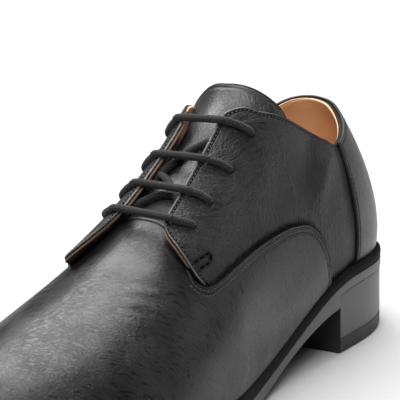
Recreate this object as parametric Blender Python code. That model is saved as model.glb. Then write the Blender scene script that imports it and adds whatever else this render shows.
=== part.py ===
"""Lace-up shoe with open lacing: a left shoe in black leather, built from its last upwards.

Metres, +Z up, +X to the toe, +Y to the outer side of the foot. The origin is on the floor, under the
middle of the shoe. Every curved piece is cut from one form: walls that rise from the seat edge, where the
upper meets the sole, and close over the ridge of the instep.
A place on the form has three numbers: the side (outer +1, inner -1), along (share of the way from the
middle of the heel to the tip of the toe) and up (0 at the seat edge, 1 on the ridge).
"""

import bmesh
import bpy
import numpy as np

MM = 0.001

# Driving dimensions
LAST_LENGTH = 295 * MM  # heel to toe along the seat edge
BALL_WIDTH = 92 * MM  # across the seat edge at the ball of the foot
INSTEP_HEIGHT = 92.5 * MM  # ridge above the floor, half way along
HEEL_SEAT = 31.7 * MM  # top of the outsole above the floor, under the heel

# Thicknesses, gaps and steps
GAP = 0.3 * MM  # left between pieces that lie on each other
WALL = 2.4 * MM  # leather with its lining
OVERLAY = 1.0 * MM  # vamp and counter, one leather
WELT_HEIGHT = 3.9 * MM
WELT_OUT = 3.0 * MM  # how far the sole stands out from the seat edge
SOLE_OVER_HEEL = 4.3 * MM
EDGE_BEVEL = 0.9 * MM
INSOLE = 2.5 * MM
TONGUE = 2.2 * MM
TONGUE_LEVEL = 0.2 * MM  # face of the tongue above the form
TONGUE_FLARE = 4.2 * MM  # how much more its top end stands off
FLAP_LIFT = 7.0 * MM  # laced flaps above the form, over tongue and lace
FLAP_WEB = 1.7 * MM  # how far behind the flap's front edge its lining stops
FLAP_STEP = 0.2 * MM  # half the width of a steep step
WING_LEVEL = 1.2 * MM  # face of the vamp's wings above the form
QUARTER_SINK = 0.2 * MM  # face of the quarters under the form

# Heel
BREAST = -86.5 * MM  # front face of the heel
TOP_PIECE = 6.6 * MM
TOP_PIECE_ROUND = 1.6 * MM
HEEL_OUT = 2.6 * MM

# Sole line: under the arch it falls from the heel's breast to the ball, then is flat, then springs
ARCH_START = -92 * MM
ARCH_HEIGHT = 20.6 * MM
TREAD_START = 0 * MM
TREAD_END = 70 * MM
TOE_SPRING = 9.8 * MM

# Lace
LACE_RADIUS = 1.4 * MM
LACE_SIDES = 8
LACE_CLEAR = 0.7 * MM
LEG_LEAN = 0.4 * MM  # how far a leg stands off its eyelet's middle, to the throat
BAR_SHARES = {1: (0.50, 0.92), -1: (0.02, 0.05)}  # a bar's way along, half way up each flap and at its edge
EYELET_RADIUS = 2.5 * MM
EYELET_SIDES = 12
EYELET_ALONG = {1: (0.3815, 0.4410, 0.4990, 0.5470), -1: (0.4095, 0.4690, 0.5230, 0.5620)}
EYELET_UP = {1: 0.735, -1: 0.775}

# Opening and seams, as places on the form
FLAP_EDGE_UP = {1: (0.897, 0.855), -1: (0.905, 0.905)}  # edges of the laced flaps, at their tops and fronts
FLAP_FRONT = {1: 0.580, -1: 0.574}  # where the flaps end at the throat
FLAP_FRONT_RAKE = {1: 0.0, -1: 0.080}  # how far the flap's front edge runs forward on its way down
FLAP_TAB_UP = 0.50
FLAP_FULL_UP = 0.75  # where the flaps reach their full lift
RAKE_REACH = 0.12  # how far along the shoe the rake of the flap's front fades out
FLAP_CORNER = {1: (0.352, 0.400), -1: (0.370, 0.420)}  # along the corners between collar and flap edge
FLAP_RISE = (0.20, 0.34)  # along which the flaps come to their full lift, behind
FLAP_START_UP = 0.40  # where the lift starts at the lowest
SEAM_CLEAR_UP = 0.02  # how far above the wing seam the lift starts
COUNTER_FRONT = 0.178
COUNTER_FADE = 0.22  # where the upper is back at its level in front of the counter
QUARTER_RISE = (0.18, 0.24)
VAMP_FADE = (0.50, 0.60)  # along which the vamp's face goes from its wings to the form
TONGUE_TOP = 0.350  # middle of the tongue's top edge
TONGUE_TOP_DROP = 0.034  # how far back the top edge's ends lie
TONGUE_FLARE_ALONG = (0.320, 0.380)
TONGUE_FLARE_SIDE = 0.6  # how much of the flare is lost at the tongue's sides
TONGUE_SIDE_UP = (0.640, 0.740)  # its side edges at the top and at the throat

# Sections from heel to toe. foot, spine: share of the last's length. outer, inner, ridge, swell: shares of
# the ball width. seat: share of the heel seat. crown: share of the instep height. rise, round: where the
# two handles of a wall's curve stand, low and high.
SECTION_COLUMNS = (
    "foot", "outer", "inner", "seat", "spine", "ridge", "crown",
    "swell_outer", "swell_inner", "rise", "round_outer", "round_inner",
)
SECTIONS = (
    (0.027, 0.221, 0.221, 0.978, 0.102, 0.000, 1.243, 0.098, 0.098, 0.36, 0.28, 0.28),
    (0.093, 0.322, 0.322, 1.000, 0.120, 0.000, 1.276, 0.098, 0.098, 0.36, 0.33, 0.33),
    (0.175, 0.341, 0.333, 0.994, 0.178, 0.000, 1.351, 0.098, 0.087, 0.36, 0.46, 0.46),
    (0.219, 0.341, 0.324, 0.921, 0.219, 0.000, 1.389, 0.098, 0.082, 0.37, 0.51, 0.51),
    (0.266, 0.339, 0.309, 0.773, 0.263, 0.000, 1.395, 0.098, 0.082, 0.38, 0.55, 0.55),
    (0.341, 0.339, 0.284, 0.498, 0.331, 0.000, 1.319, 0.109, 0.098, 0.42, 0.56, 0.58),
    (0.422, 0.364, 0.279, 0.290, 0.405, 0.003, 1.157, 0.114, 0.120, 0.46, 0.54, 0.57),
    (0.510, 0.418, 0.321, 0.189, 0.485, 0.003, 1.000, 0.103, 0.130, 0.50, 0.54, 0.57),
    (0.602, 0.479, 0.402, 0.158, 0.564, -0.002, 0.867, 0.076, 0.114, 0.53, 0.56, 0.58),
    (0.690, 0.509, 0.479, 0.151, 0.653, -0.016, 0.750, 0.054, 0.082, 0.56, 0.60, 0.56),
    (0.771, 0.492, 0.505, 0.170, 0.731, -0.033, 0.666, 0.043, 0.060, 0.58, 0.64, 0.57),
    (0.853, 0.417, 0.475, 0.246, 0.808, -0.048, 0.595, 0.037, 0.048, 0.60, 0.66, 0.61),
    (0.914, 0.311, 0.404, 0.328, 0.863, -0.058, 0.554, 0.033, 0.039, 0.62, 0.66, 0.64),
    (0.966, 0.168, 0.279, 0.410, 0.893, -0.064, 0.530, 0.028, 0.033, 0.62, 0.64, 0.62),
)
# The wall in the middle of the heel and the one at the tip of the toe
END_COLUMNS = ("foot", "across", "seat", "spine", "ridge", "crown", "swell", "rise", "round")
HEEL_BACK = (0.000, 0.000, 0.965, 0.097, 0.000, 1.232, 0.098, 0.36, 0.27)
TOE_TIP = (1.000, -0.065, 0.473, 0.902, -0.065, 0.523, 0.026, 0.62, 0.62)

# Top edge of the collar up to the flaps: along, up
COLLAR = (
    (-0.050, 0.683), (0.000, 0.696), (0.050, 0.683), (0.100, 0.652), (0.135, 0.588), (0.157, 0.512),
    (0.178, 0.481), (0.210, 0.497), (0.260, 0.556), (0.310, 0.645), (0.345, 0.728), (0.368, 0.800),
)
# Edge of the vamp's wings over the quarters, from the sole behind to the flap's tab in front: along, up
WING = (
    (0.244, 0.100), (0.250, 0.163), (0.262, 0.222), (0.280, 0.278), (0.306, 0.319), (0.343, 0.339),
    (0.378, 0.365), (0.428, 0.410), (0.483, 0.444), (0.521, 0.451), (0.549, 0.455), (0.580, 0.485),
)
WING_TOP = (0.18, 0.319)  # where the seam's rows start behind the wing, and how high they stay
# Columns of the pieces' meshes (from, to, how many steps) and rows
HEEL_STEPS = (0.0, COUNTER_FRONT, 9)
COLLAR_STEPS = (COUNTER_FRONT, 0.390, 10)
FLAP_STEPS = (0.390, 0.570, 6)
TOE_STEPS = (0.590, 1.0, 12)
SEAM_ROWS = 5
EDGE_ROWS = 5
RIDGE_SHARES = (0.35, 0.7, 1.0)


def closed_curve(knots, values, period):
    """A smooth closed curve through the values at the knots: a periodic cubic spline."""
    count = len(knots)
    steps = np.diff(np.append(knots, knots[0] + period))
    slopes = np.diff(np.append(values, values[0])) / steps
    row = np.arange(count)
    matrix = np.zeros((count, count))
    matrix[row, row] = 2 * (steps[row - 1] + steps)
    matrix[row, (row + 1) % count] += steps
    matrix[row, row - 1] += steps[row - 1]
    bends = np.linalg.solve(matrix, 6 * (slopes - slopes[row - 1]))

    def curve(place):
        place = np.mod(np.asarray(place, float), period)
        left = np.clip(np.searchsorted(knots, place, side="right") - 1, 0, count - 1)
        right = (left + 1) % count
        step = steps[left]
        after = place - knots[left]
        before = step - after
        return (
            (bends[left] * before**3 + bends[right] * after**3) / (6 * step)
            + (values[left] / step - bends[left] * step / 6) * before
            + (values[right] / step - bends[right] * step / 6) * after
        )

    return curve


def open_curve(rows):
    """A smooth curve through (along, up) rows, level past its ends: cubic pieces with central slopes."""
    x, y = np.array(rows).T
    slope = np.gradient(y, x)

    def curve(place):
        place = np.clip(place, x[0], x[-1])
        left = np.clip(np.searchsorted(x, place) - 1, 0, len(x) - 2)
        step = x[left + 1] - x[left]
        q = (place - x[left]) / step
        return (
            y[left] * (1 + 2 * q) * (1 - q) ** 2
            + slope[left] * step * q * (1 - q) ** 2
            + y[left + 1] * q * q * (3 - 2 * q)
            + slope[left + 1] * step * q * q * (q - 1)
        )

    return curve


def ease(start, end, value):
    """0 before start, 1 after end, and a smooth step between them."""
    q = np.clip((value - start) / (end - start), 0, 1)
    return q * q * (3 - 2 * q)


def ring_of_walls():
    """The walls in order round the shoe, in metres: heel, outer side, toe, inner side, and their knots."""
    table = dict(zip(SECTION_COLUMNS, np.array(SECTIONS).T))
    slope = np.gradient(table["crown"] * INSTEP_HEIGHT, table["spine"] * LAST_LENGTH)
    ends = [dict(zip(END_COLUMNS, row)) for row in (HEEL_BACK, TOE_TIP)]
    ends[0]["slope"], ends[1]["slope"] = slope[0], slope[-1]
    columns = {}
    for name in ("foot", "seat", "spine", "ridge", "crown", "rise"):
        columns[name] = [ends[0][name], *table[name], ends[1][name], *table[name][::-1]]
    columns["slope"] = [ends[0]["slope"], *slope, ends[1]["slope"], *slope[::-1]]
    columns["across"] = [ends[0]["across"], *table["outer"], ends[1]["across"], *-table["inner"][::-1]]
    for name in ("swell", "round"):
        both = table[name + "_outer"], table[name + "_inner"][::-1]
        columns[name] = [ends[0][name], *both[0], ends[1][name], *both[1]]
    scales = {
        "foot": LAST_LENGTH, "spine": LAST_LENGTH, "across": BALL_WIDTH, "ridge": BALL_WIDTH,
        "swell": BALL_WIDTH, "seat": HEEL_SEAT, "crown": INSTEP_HEIGHT,
    }
    ring = {name: np.array(values) * scales.get(name, 1) for name, values in columns.items()}
    ring["foot"] -= LAST_LENGTH / 2
    ring["spine"] -= LAST_LENGTH / 2
    chords = np.hypot(
        np.diff(np.append(ring["foot"], ring["foot"][0])),
        np.diff(np.append(ring["across"], ring["across"][0])),
    )
    # Both sides share the mean chord, so that the outer and inner walls of a section meet on the ridge.
    chords = (chords + chords[::-1]) / 2
    knots = np.append(0, np.cumsum(chords)[:-1])
    period = chords.sum()
    return {name: closed_curve(knots, values, period) for name, values in ring.items()}, period / 2


WALLS, SIDE_LENGTH = ring_of_walls()
collar_up = open_curve(COLLAR)
wing_up = open_curve(WING)


def on_ring(side, along):
    """Distance round the ring of walls for a side and a share of its length."""
    return np.where(np.asarray(side) > 0, along, 2 - np.asarray(along)) * SIDE_LENGTH


def form(side, along, up):
    """A point of the form: each wall is a cubic from the seat edge, out and up, then in to the ridge."""
    wall = {name: curve(on_ring(side, along)) for name, curve in WALLS.items()}
    run, lean = wall["foot"] - wall["spine"], wall["across"] - wall["ridge"]
    reach = np.hypot(run, lean)
    low, high = 3 * up * (1 - up) ** 2, 3 * up**2 * (1 - up)
    out = (1 - up) ** 3 + low * (1 + wall["swell"] / reach) + high * wall["round"]
    tilt = high * wall["slope"] * wall["round"] * run
    rise = (wall["crown"] - wall["seat"]) * (low * wall["rise"] + high + up**3)
    return np.stack(
        [wall["spine"] + run * out, wall["ridge"] + lean * out, wall["seat"] + rise + tilt], axis=-1
    )


def outward(side, along, up):
    """Unit normal of the form, from differences along and up it."""
    step_along, step_up = 2e-4, 2e-3
    low = np.clip(up - step_up, 0, 1 - 3 * step_up)
    along_way = form(side, along + step_along, up) - form(side, along - step_along, up)
    up_way = form(side, along, low + 2 * step_up) - form(side, along, low)
    normal = np.cross(up_way, along_way) * np.asarray(side, float)[..., None]
    return normal / np.linalg.norm(normal, axis=-1, keepdims=True)


def lifted(side, along, up, level):
    """A point at a level above the form, measured along its normal."""
    side, along, up, level = np.broadcast_arrays(side, along, up, level)
    return form(side, along, up) + outward(side, along, up) * level[..., None]


def seat_edge(side, along, out):
    """The seat edge moved out in plan, at its own height."""
    step = 1e-4
    place = form(side, along, 0 * along)
    way = form(side, along + step, 0 * along) - form(side, along - step, 0 * along)
    length = np.hypot(way[..., 0], way[..., 1])
    side = np.asarray(side, float)
    place[..., 0] -= side * way[..., 1] / length * out
    place[..., 1] += side * way[..., 0] / length * out
    return place


def columns_from(*stretches):
    """Shares along the shoe for stretches given as (from, to, steps), without doubles."""
    shares = [np.linspace(start, end, steps + 1) for start, end, steps in stretches]
    return np.unique(np.round(np.concatenate(shares), 6))


def make_material(name, colour, roughness):
    material = bpy.data.materials.new(name)
    material.use_nodes = True
    shader = material.node_tree.nodes["Principled BSDF"]
    shader.inputs["Base Color"].default_value = (*colour, 1)
    shader.inputs["Roughness"].default_value = roughness
    return material


def make_object(name, points, faces, material, parent):
    """A closed mesh object: doubles merged, normals turned outwards, smooth up to 35 degrees."""
    mesh = bpy.data.meshes.new(name)
    mesh.from_pydata(points.tolist(), [], faces)
    tool = bmesh.new()
    tool.from_mesh(mesh)
    bmesh.ops.remove_doubles(tool, verts=tool.verts, dist=0.004 * MM)
    bmesh.ops.dissolve_degenerate(tool, edges=tool.edges, dist=0.002 * MM)
    bmesh.ops.recalc_face_normals(tool, faces=tool.faces)
    tool.to_mesh(mesh)
    tool.free()
    mesh.shade_smooth()
    mesh.set_sharp_from_angle(angle=np.radians(35))
    mesh.materials.append(material)
    made = bpy.data.objects.new(name, mesh)
    bpy.context.scene.collection.objects.link(made)
    made.parent = parent
    return made


def thick_mesh(face_points, back_points, faces):
    """Points and faces of a solid between two sheets with the same faces: sheet, back and rim."""
    count = len(face_points)
    edges = [(face[k - 1], face[k]) for face in faces for k in range(len(face))]
    known = set(edges)
    rim = [(b, a, a + count, b + count) for a, b in edges if (b, a) not in known]
    back = [tuple(corner + count for corner in reversed(face)) for face in faces]
    return np.concatenate([face_points, back_points]), [*faces, *back, *rim]


def grid_faces(rows, columns, first=0):
    """Faces of a grid of points kept row by row."""
    corner = [first + row * columns + column for row in range(rows - 1) for column in range(columns - 1)]
    return [(a, a + columns, a + columns + 1, a + 1) for a in corner]


def ring_faces(rings, count):
    """Faces between rings of points that close on themselves, and from the last ring to the first."""
    pairs = [(ring, (ring + 1) % rings) for ring in range(rings)]
    return [
        (a * count + k, b * count + k, b * count + (k + 1) % count, a * count + (k + 1) % count)
        for a, b in pairs
        for k in range(count)
    ]


def make_plate(name, face_points, back_points, material, parent):
    """A solid plate between two grids of points."""
    rows, columns = face_points.shape[:2]
    sheets = (face_points.reshape(-1, 3), back_points.reshape(-1, 3))
    return make_object(name, *thick_mesh(*sheets, grid_faces(rows, columns)), material, parent)


def flap_edge(side, along):
    """Share up the wall of the laced flap's edge along the throat."""
    return np.interp(along, (FLAP_CORNER[side][1], FLAP_FRONT[side]), FLAP_EDGE_UP[side])


def flap_front(side, up):
    """Share along the shoe of the laced flap's front edge, at a height."""
    top = FLAP_EDGE_UP[side][1]
    down = np.clip((top - up) / (top - FLAP_TAB_UP), 0, 1)
    return FLAP_FRONT[side] + FLAP_FRONT_RAKE[side] * down


def raked(side, along, up):
    """Columns near the flap's front turned to run along its front edge."""
    pull = np.exp(-(((along - FLAP_FRONT[side]) / RAKE_REACH) ** 2))
    return along + (flap_front(side, up) - FLAP_FRONT[side]) * pull


def seam_up(along):
    """The wing seam, carried on level behind the wing and in front of the flaps."""
    return np.maximum(wing_up(along), ease(WING_TOP[0], WING[0][0], along) * WING_TOP[1])


def upper_level(along, up, lift):
    """Level of the upper's face: sunk under counter and vamp, and raised in the laced flaps."""
    sunk = -(GAP + OVERLAY) * (1 - ease(COUNTER_FRONT, COUNTER_FADE, along))
    under_vamp = GAP + OVERLAY - QUARTER_SINK
    wings = -QUARTER_SINK * ease(*QUARTER_RISE, along) - under_vamp * ease(*VAMP_FADE, along)
    start = np.maximum(FLAP_START_UP, wing_up(along) + SEAM_CLEAR_UP)
    flap = FLAP_LIFT * ease(start, FLAP_FULL_UP, up) * ease(*FLAP_RISE, along)
    return sunk + wings + lift * flap


def edge_up(side, along):
    """Top edge of the upper: the collar, then the rounded corner and straight edge of the flap."""
    flap = flap_edge(side, along)
    corner = ease(*FLAP_CORNER[side], along)
    return np.minimum(collar_up(along) * (1 - corner) + flap * corner, flap)


def wall_rows(side, place, closed):
    """Shares up a wall for the rows of a mesh: seat, welt, up to the wing seam, the edge, and the ridge."""
    top = flap_edge(side, place) if closed else edge_up(side, place)
    welt = seat_to_up(side, place, WELT_HEIGHT + 2 * GAP)
    seam = seam_up(place)
    low = welt + (seam - welt) * np.linspace(0, 1, SEAM_ROWS)
    high = seam + (top - seam) * np.linspace(0, 1, EDGE_ROWS)[1:]
    ridge = top + (1 - top) * np.array(RIDGE_SHARES) if closed else []
    return np.concatenate([[0], low, high, ridge])


def wall_columns():
    """Shares along the shoe for the upper's walls: those behind the flaps' front edge and those ahead."""
    front, web = FLAP_FRONT[1], FLAP_WEB / SIDE_LENGTH
    step = FLAP_STEP / SIDE_LENGTH
    behind = columns_from(HEEL_STEPS, COLLAR_STEPS, FLAP_STEPS)
    behind = np.append(behind, [front - web - 2 * step, front - web, front - step])
    return behind, np.append(front + step, columns_from(TOE_STEPS))


def two_sided(walls, sheet):
    """Face and back points and the faces of a piece over both sides, its walls joined at heel, toe and ridge.

    walls: (share along, closed over the ridge or not) in order. sheet: gives a wall's face and back points.
    """
    points, backs, numbers = [], [], {}
    for side in (1, -1):
        for column, (share, closed) in enumerate(walls):
            if side < 0 and share in (0.0, 1.0):
                numbers[side, column] = numbers[1, column]
                continue
            face, back = sheet(side, column)
            numbers[side, column] = len(points) + np.arange(len(face))
            points.extend(face)
            backs.extend(back)
            if side < 0 and closed:
                ridge, twin = numbers[side, column][-1], numbers[1, column][-1]
                points[twin] = (points[ridge] + points[twin]) / 2
                backs[twin] = (backs[ridge] + backs[twin]) / 2
                numbers[side, column][-1] = twin
    faces = []
    for side in (1, -1):
        for column in range(len(walls) - 1):
            left, right = numbers[side, column], numbers[side, column + 1]
            for row in range(min(len(left), len(right)) - 1):
                near, far = (left[row], left[row + 1]), (right[row], right[row + 1])
                for corner in ((near[0], *far), (near[0], far[1], near[1])):
                    faces.append(tuple(int(k) for k in corner[::side]))
    used = sorted({corner for face in faces for corner in face})
    renumber = {old: new for new, old in enumerate(used)}
    faces = [tuple(renumber[corner] for corner in face) for face in faces]
    return np.array(points)[used], np.array(backs)[used], faces


def wall_spots(side, share, closed):
    """Shares along and up for the rows of one wall, with the flap's rake."""
    shift = FLAP_FRONT[side] - FLAP_FRONT[1]
    place = share + shift * np.exp(-(((share - FLAP_FRONT[1]) / RAKE_REACH) ** 2))
    up = wall_rows(side, place, closed)
    return raked(side, np.full_like(up, place), up), up


def make_upper(material, parent):
    """One hollow shell, open at collar, throat and underneath, stepped at the front of the laced flaps."""
    behind, ahead = wall_columns()
    walls = [(share, False) for share in behind] + [(share, True) for share in ahead]

    def sheet(side, column):
        along, up = wall_spots(side, *walls[column])
        lift = float(column < len(behind))
        lift_back = float(column < len(behind) - 2)
        face = lifted(side, along, up, upper_level(along, up, lift))
        return face, lifted(side, along, up, upper_level(along, up, lift_back) - WALL)

    upper = make_object("upper", *thick_mesh(*two_sided(walls, sheet)), material, parent)
    cut = upper.modifiers.new("eyelets", "BOOLEAN")
    cut.operation = "DIFFERENCE"
    cut.solver = "EXACT"
    cut.object = make_eyelet_cutter(material, parent)


def eyelet(side, row):
    """Centre of an eyelet on the flap's face, its normal, and the way over the flap to the throat."""
    along, up = np.array(EYELET_ALONG[side][row]), np.array(EYELET_UP[side])
    face = lifted(side, along, up, upper_level(along, up, 1.0))
    near = lifted(side, along, up + 0.02, upper_level(along, up + 0.02, 1.0))
    ahead = lifted(side, along + 0.005, up, upper_level(along + 0.005, up, 1.0))
    way = (near - face) / np.linalg.norm(near - face)
    normal = np.cross(way, ahead - face) * side
    return face, normal / np.linalg.norm(normal), way


def make_eyelet_cutter(material, parent):
    """Eight short rods that punch the eyelets through the flaps."""
    angles = np.linspace(0, 2 * np.pi, EYELET_SIDES, endpoint=False)
    points, faces = [], []
    for side in (1, -1):
        for row in range(len(EYELET_ALONG[side])):
            centre, normal, way = eyelet(side, row)
            across = np.cross(normal, way)
            circle = EYELET_RADIUS * (np.cos(angles)[:, None] * way + np.sin(angles)[:, None] * across)
            first = len(points)
            for height in (-2 * WALL, WALL):
                points.extend(centre + normal * height + circle)
            low = [first + k for k in range(EYELET_SIDES)]
            high = [k + EYELET_SIDES for k in low]
            faces.append(tuple(reversed(low)))
            faces.append(tuple(high))
            for k in range(EYELET_SIDES):
                turn = (k + 1) % EYELET_SIDES
                faces.append((low[k], low[turn], high[turn], high[k]))
    cutter = make_object("eyelet_cutter", np.array(points), faces, material, parent)
    cutter.hide_render = True
    cutter.display_type = "WIRE"
    return cutter


def vamp_level(along):
    """Level of the vamp's face: flush with the form in front, raised in the wings over the quarters."""
    return WING_LEVEL * (1 - ease(*VAMP_FADE, along))


def seat_to_up(side, along, height):
    """The share up a wall that lies at a height above the seat."""
    shares = np.linspace(0, 0.4, 81)
    heights = form(side, np.full_like(shares, along), shares)[:, 2]
    return np.interp(heights[0] + height, heights, shares)


def make_vamp(material, parent):
    """The vamp over the front of the upper, with its two wings over the quarters."""
    behind, ahead = wall_columns()
    wing = behind[(behind > WING[0][0]) & (behind <= FLAP_STEPS[1])]
    wing = np.append(WING[0][0], wing)
    first = ahead[0] + GAP / SIDE_LENGTH
    walls = [(share, False) for share in wing] + [(share, True) for share in (first, *ahead[1:])]

    def sheet(side, column):
        share, closed = walls[column]
        along, up = wall_spots(side, share, closed)
        along, up = along[1:], up[1:]
        if not closed:
            along, up = along[:SEAM_ROWS], up[:SEAM_ROWS]
            up = up[0] + (min(up[-1], wing_up(share)) - up[0]) * np.linspace(0, 1, SEAM_ROWS)
        level = vamp_level(along)
        return lifted(side, along, up, level), lifted(side, along, up, level - OVERLAY)

    make_object("vamp", *thick_mesh(*two_sided(walls, sheet)), material, parent)


def make_counter(material, parent):
    """The counter round the back of the heel, from the welt to the top of the collar."""
    walls = [(share, False) for share in columns_from(HEEL_STEPS)]

    def sheet(side, column):
        along, up = wall_spots(side, *walls[column])
        along, up = along[1:], up[1:]
        return lifted(side, along, up, 0.0), lifted(side, along, up, -OVERLAY)

    make_object("counter", *thick_mesh(*two_sided(walls, sheet)), material, parent)


def make_tongue(material, parent):
    """The tongue under the laced flaps, from the vamp's throat to its flared top above them."""
    end = min(FLAP_FRONT.values()) - (FLAP_WEB + 3 * GAP) / SIDE_LENGTH
    half = np.linspace(1, 0, 6)
    face, back = [], []
    for share in np.linspace(0, 1, 13):
        row, row_back = [], []
        lowest = np.interp(share, (0, 1), TONGUE_SIDE_UP)
        for side, down in ((1, half), (-1, half[-2::-1])):
            ups = 1 - (1 - lowest) * down
            start = TONGUE_TOP - TONGUE_TOP_DROP * down**1.5
            place = start + (end - start) * share
            flare = (1 - ease(*TONGUE_FLARE_ALONG, place)) * (1 - TONGUE_FLARE_SIDE * ease(0.75, 1, down))
            level = TONGUE_LEVEL + TONGUE_FLARE * flare
            row.extend(lifted(side, place, ups, level))
            row_back.extend(lifted(side, place, ups, level - TONGUE))
        face.append(row)
        back.append(row_back)
    make_plate("tongue", np.array(face), np.array(back), material, parent)


def sole_bottom(x):
    """Height of the sole's underside in front of the heel: the arch, the flat tread and the toe spring."""
    arch = ARCH_HEIGHT * (1 - ease(ARCH_START, TREAD_START, x))
    toe_end = LAST_LENGTH / 2 + WELT_OUT
    spring = TOE_SPRING * np.clip((x - TREAD_END) / (toe_end - TREAD_END), 0, None) ** 2
    return arch + spring


def foot_share(x):
    """The share along the shoe where the seat edge reaches x."""
    shares = np.linspace(0, 1, 2001)
    return float(np.interp(x, form(1, shares, 0 * shares)[:, 0], shares))


def across_grid(along, out, cells):
    """Rows of points across the sole from the outer edge to the inner, at the seat's height."""
    outer, inner = seat_edge(1, along, out), seat_edge(-1, along, out)
    share = np.linspace(0, 1, cells + 1)[None, :, None]
    return outer[:, None, :] * (1 - share) + inner[:, None, :] * share


def make_slab(name, along, top, bottom, bevel, out, material, parent, cells=4):
    """A slab with the sole's outline: top and bottom are heights at the points, its lower edge bevelled."""
    upper_sheet = across_grid(along, out, cells)
    edge_sheet = across_grid(along, out, cells)
    lower_sheet = across_grid(along, out - bevel, cells)
    shares = along[:, None]
    upper_sheet[..., 2] = top(upper_sheet, shares)
    edge_sheet[..., 2] = bottom(edge_sheet, shares) + bevel
    lower_sheet[..., 2] = bottom(lower_sheet, shares)
    loop = [(row, 0) for row in range(len(along))]
    loop += [(len(along) - 1, cell) for cell in range(1, cells)]
    loop += [(row, cells) for row in range(len(along) - 1, -1, -1)]
    loop += [(0, cell) for cell in range(cells - 1, 0, -1)]
    count = len(along) * (cells + 1)
    first_edge = 2 * count
    points = np.concatenate([
        upper_sheet.reshape(-1, 3),
        lower_sheet.reshape(-1, 3),
        np.array([edge_sheet[spot] for spot in loop]),
    ])
    number = {spot: spot[0] * (cells + 1) + spot[1] for spot in loop}
    faces = grid_faces(len(along), cells + 1)
    faces += [tuple(reversed(face)) for face in grid_faces(len(along), cells + 1, count)]
    for k, spot in enumerate(loop):
        turn = (k + 1) % len(loop)
        top_pair = number[spot], number[loop[turn]]
        edge_pair = first_edge + k, first_edge + turn
        faces.append((*top_pair, edge_pair[1], edge_pair[0]))
        faces.append((*edge_pair, count + top_pair[1], count + top_pair[0]))
    return make_object(name, points, faces, material, parent)


def level_at(height):
    """A slab's face at one height."""
    return lambda points, shares: np.full(points.shape[:-1], height)


def seat_plus(height):
    """A slab's face at a height above the seat."""
    return lambda points, shares: points[..., 2] + height


def make_outsole(material, parent):
    """The outsole: thin over the heel, stepped at its breast, arched, flat at the ball, sprung at the toe."""
    breast = foot_share(BREAST)
    step = FLAP_STEP / SIDE_LENGTH
    stretches = (np.linspace(0, breast - step, 12), np.linspace(breast + step, TOE_STEPS[0], 11)[:-1])
    along = np.concatenate([*stretches, columns_from(TOE_STEPS)])

    def bottom(points, shares):
        over_heel = points[..., 2] - GAP - SOLE_OVER_HEEL
        return np.where(shares < breast, over_heel, sole_bottom(points[..., 0]))

    make_slab("outsole", along, seat_plus(-GAP), bottom, EDGE_BEVEL, WELT_OUT, material, parent)


def make_heel(block_material, piece_material, parent):
    """The heel block under the outsole, and the rubber top piece that it stands on."""
    along = np.linspace(0, foot_share(BREAST) - 2 * GAP / SIDE_LENGTH, 12)
    block = seat_plus(-SOLE_OVER_HEEL - 2 * GAP), level_at(TOP_PIECE + GAP)
    piece = level_at(TOP_PIECE), level_at(0.0)
    make_slab("heel_block", along, *block, EDGE_BEVEL / 3, HEEL_OUT, block_material, parent)
    make_slab("heel_top_piece", along, *piece, TOP_PIECE_ROUND, HEEL_OUT, piece_material, parent)


def make_insole(material, parent):
    """The insole on the outsole, inside the upper."""
    along = columns_from(HEEL_STEPS, (HEEL_STEPS[1], TOE_STEPS[0], 9), TOE_STEPS)
    inside = -(WALL + OVERLAY + 3 * GAP)
    make_slab("insole", along, seat_plus(INSOLE), seat_plus(GAP), GAP, inside, material, parent, cells=3)


def make_welt(material, parent):
    """The welt: a rounded strip all round, on the outsole and against the upper."""
    shares = columns_from(HEEL_STEPS, (HEEL_STEPS[1], TOE_STEPS[0], 14), TOE_STEPS)
    sides = np.concatenate([np.ones(len(shares)), -np.ones(len(shares) - 2)])
    along = np.concatenate([shares, shares[-2:0:-1]])
    heights = WELT_HEIGHT * np.array([0.0, 1.0])
    rings = []
    for height in heights:
        up = np.array([seat_to_up(side, share, height) for side, share in zip(sides, along)])
        ring = lifted(sides, along, up, upper_level(along, up, 0.0) + GAP)
        ring[:, 2] = seat_edge(sides, along, 0.0)[:, 2] + height
        rings.append(ring)
    for out, height in ((0.62, 1.0), (0.92, 0.82), (1.03, 0.5), (0.92, 0.14), (0.80, 0.0)):
        ring = seat_edge(sides, along, WELT_OUT * out)
        ring[:, 2] += WELT_HEIGHT * height
        rings.append(ring)
    return make_object("welt", np.concatenate(rings), ring_faces(len(rings), len(along)), material, parent)


def smooth_path(route, spacing):
    """Points at even spacing on a smooth curve through the route's points (Catmull-Rom)."""
    route = np.array(route)
    padded = np.concatenate([[2 * route[0] - route[1]], route, [2 * route[-1] - route[-2]]])
    pieces = []
    for k in range(1, len(padded) - 2):
        before, start, end, after = padded[k - 1 : k + 3]
        count = max(1, round(np.linalg.norm(end - start) / spacing))
        q = (np.arange(count) / count)[:, None]
        pieces.append(0.5 * (
            2 * start + (end - before) * q + (2 * before - 5 * start + 4 * end - after) * q**2
            + (3 * start - before - 3 * end + after) * q**3
        ))
    return np.concatenate([*pieces, route[-1:]])


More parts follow.
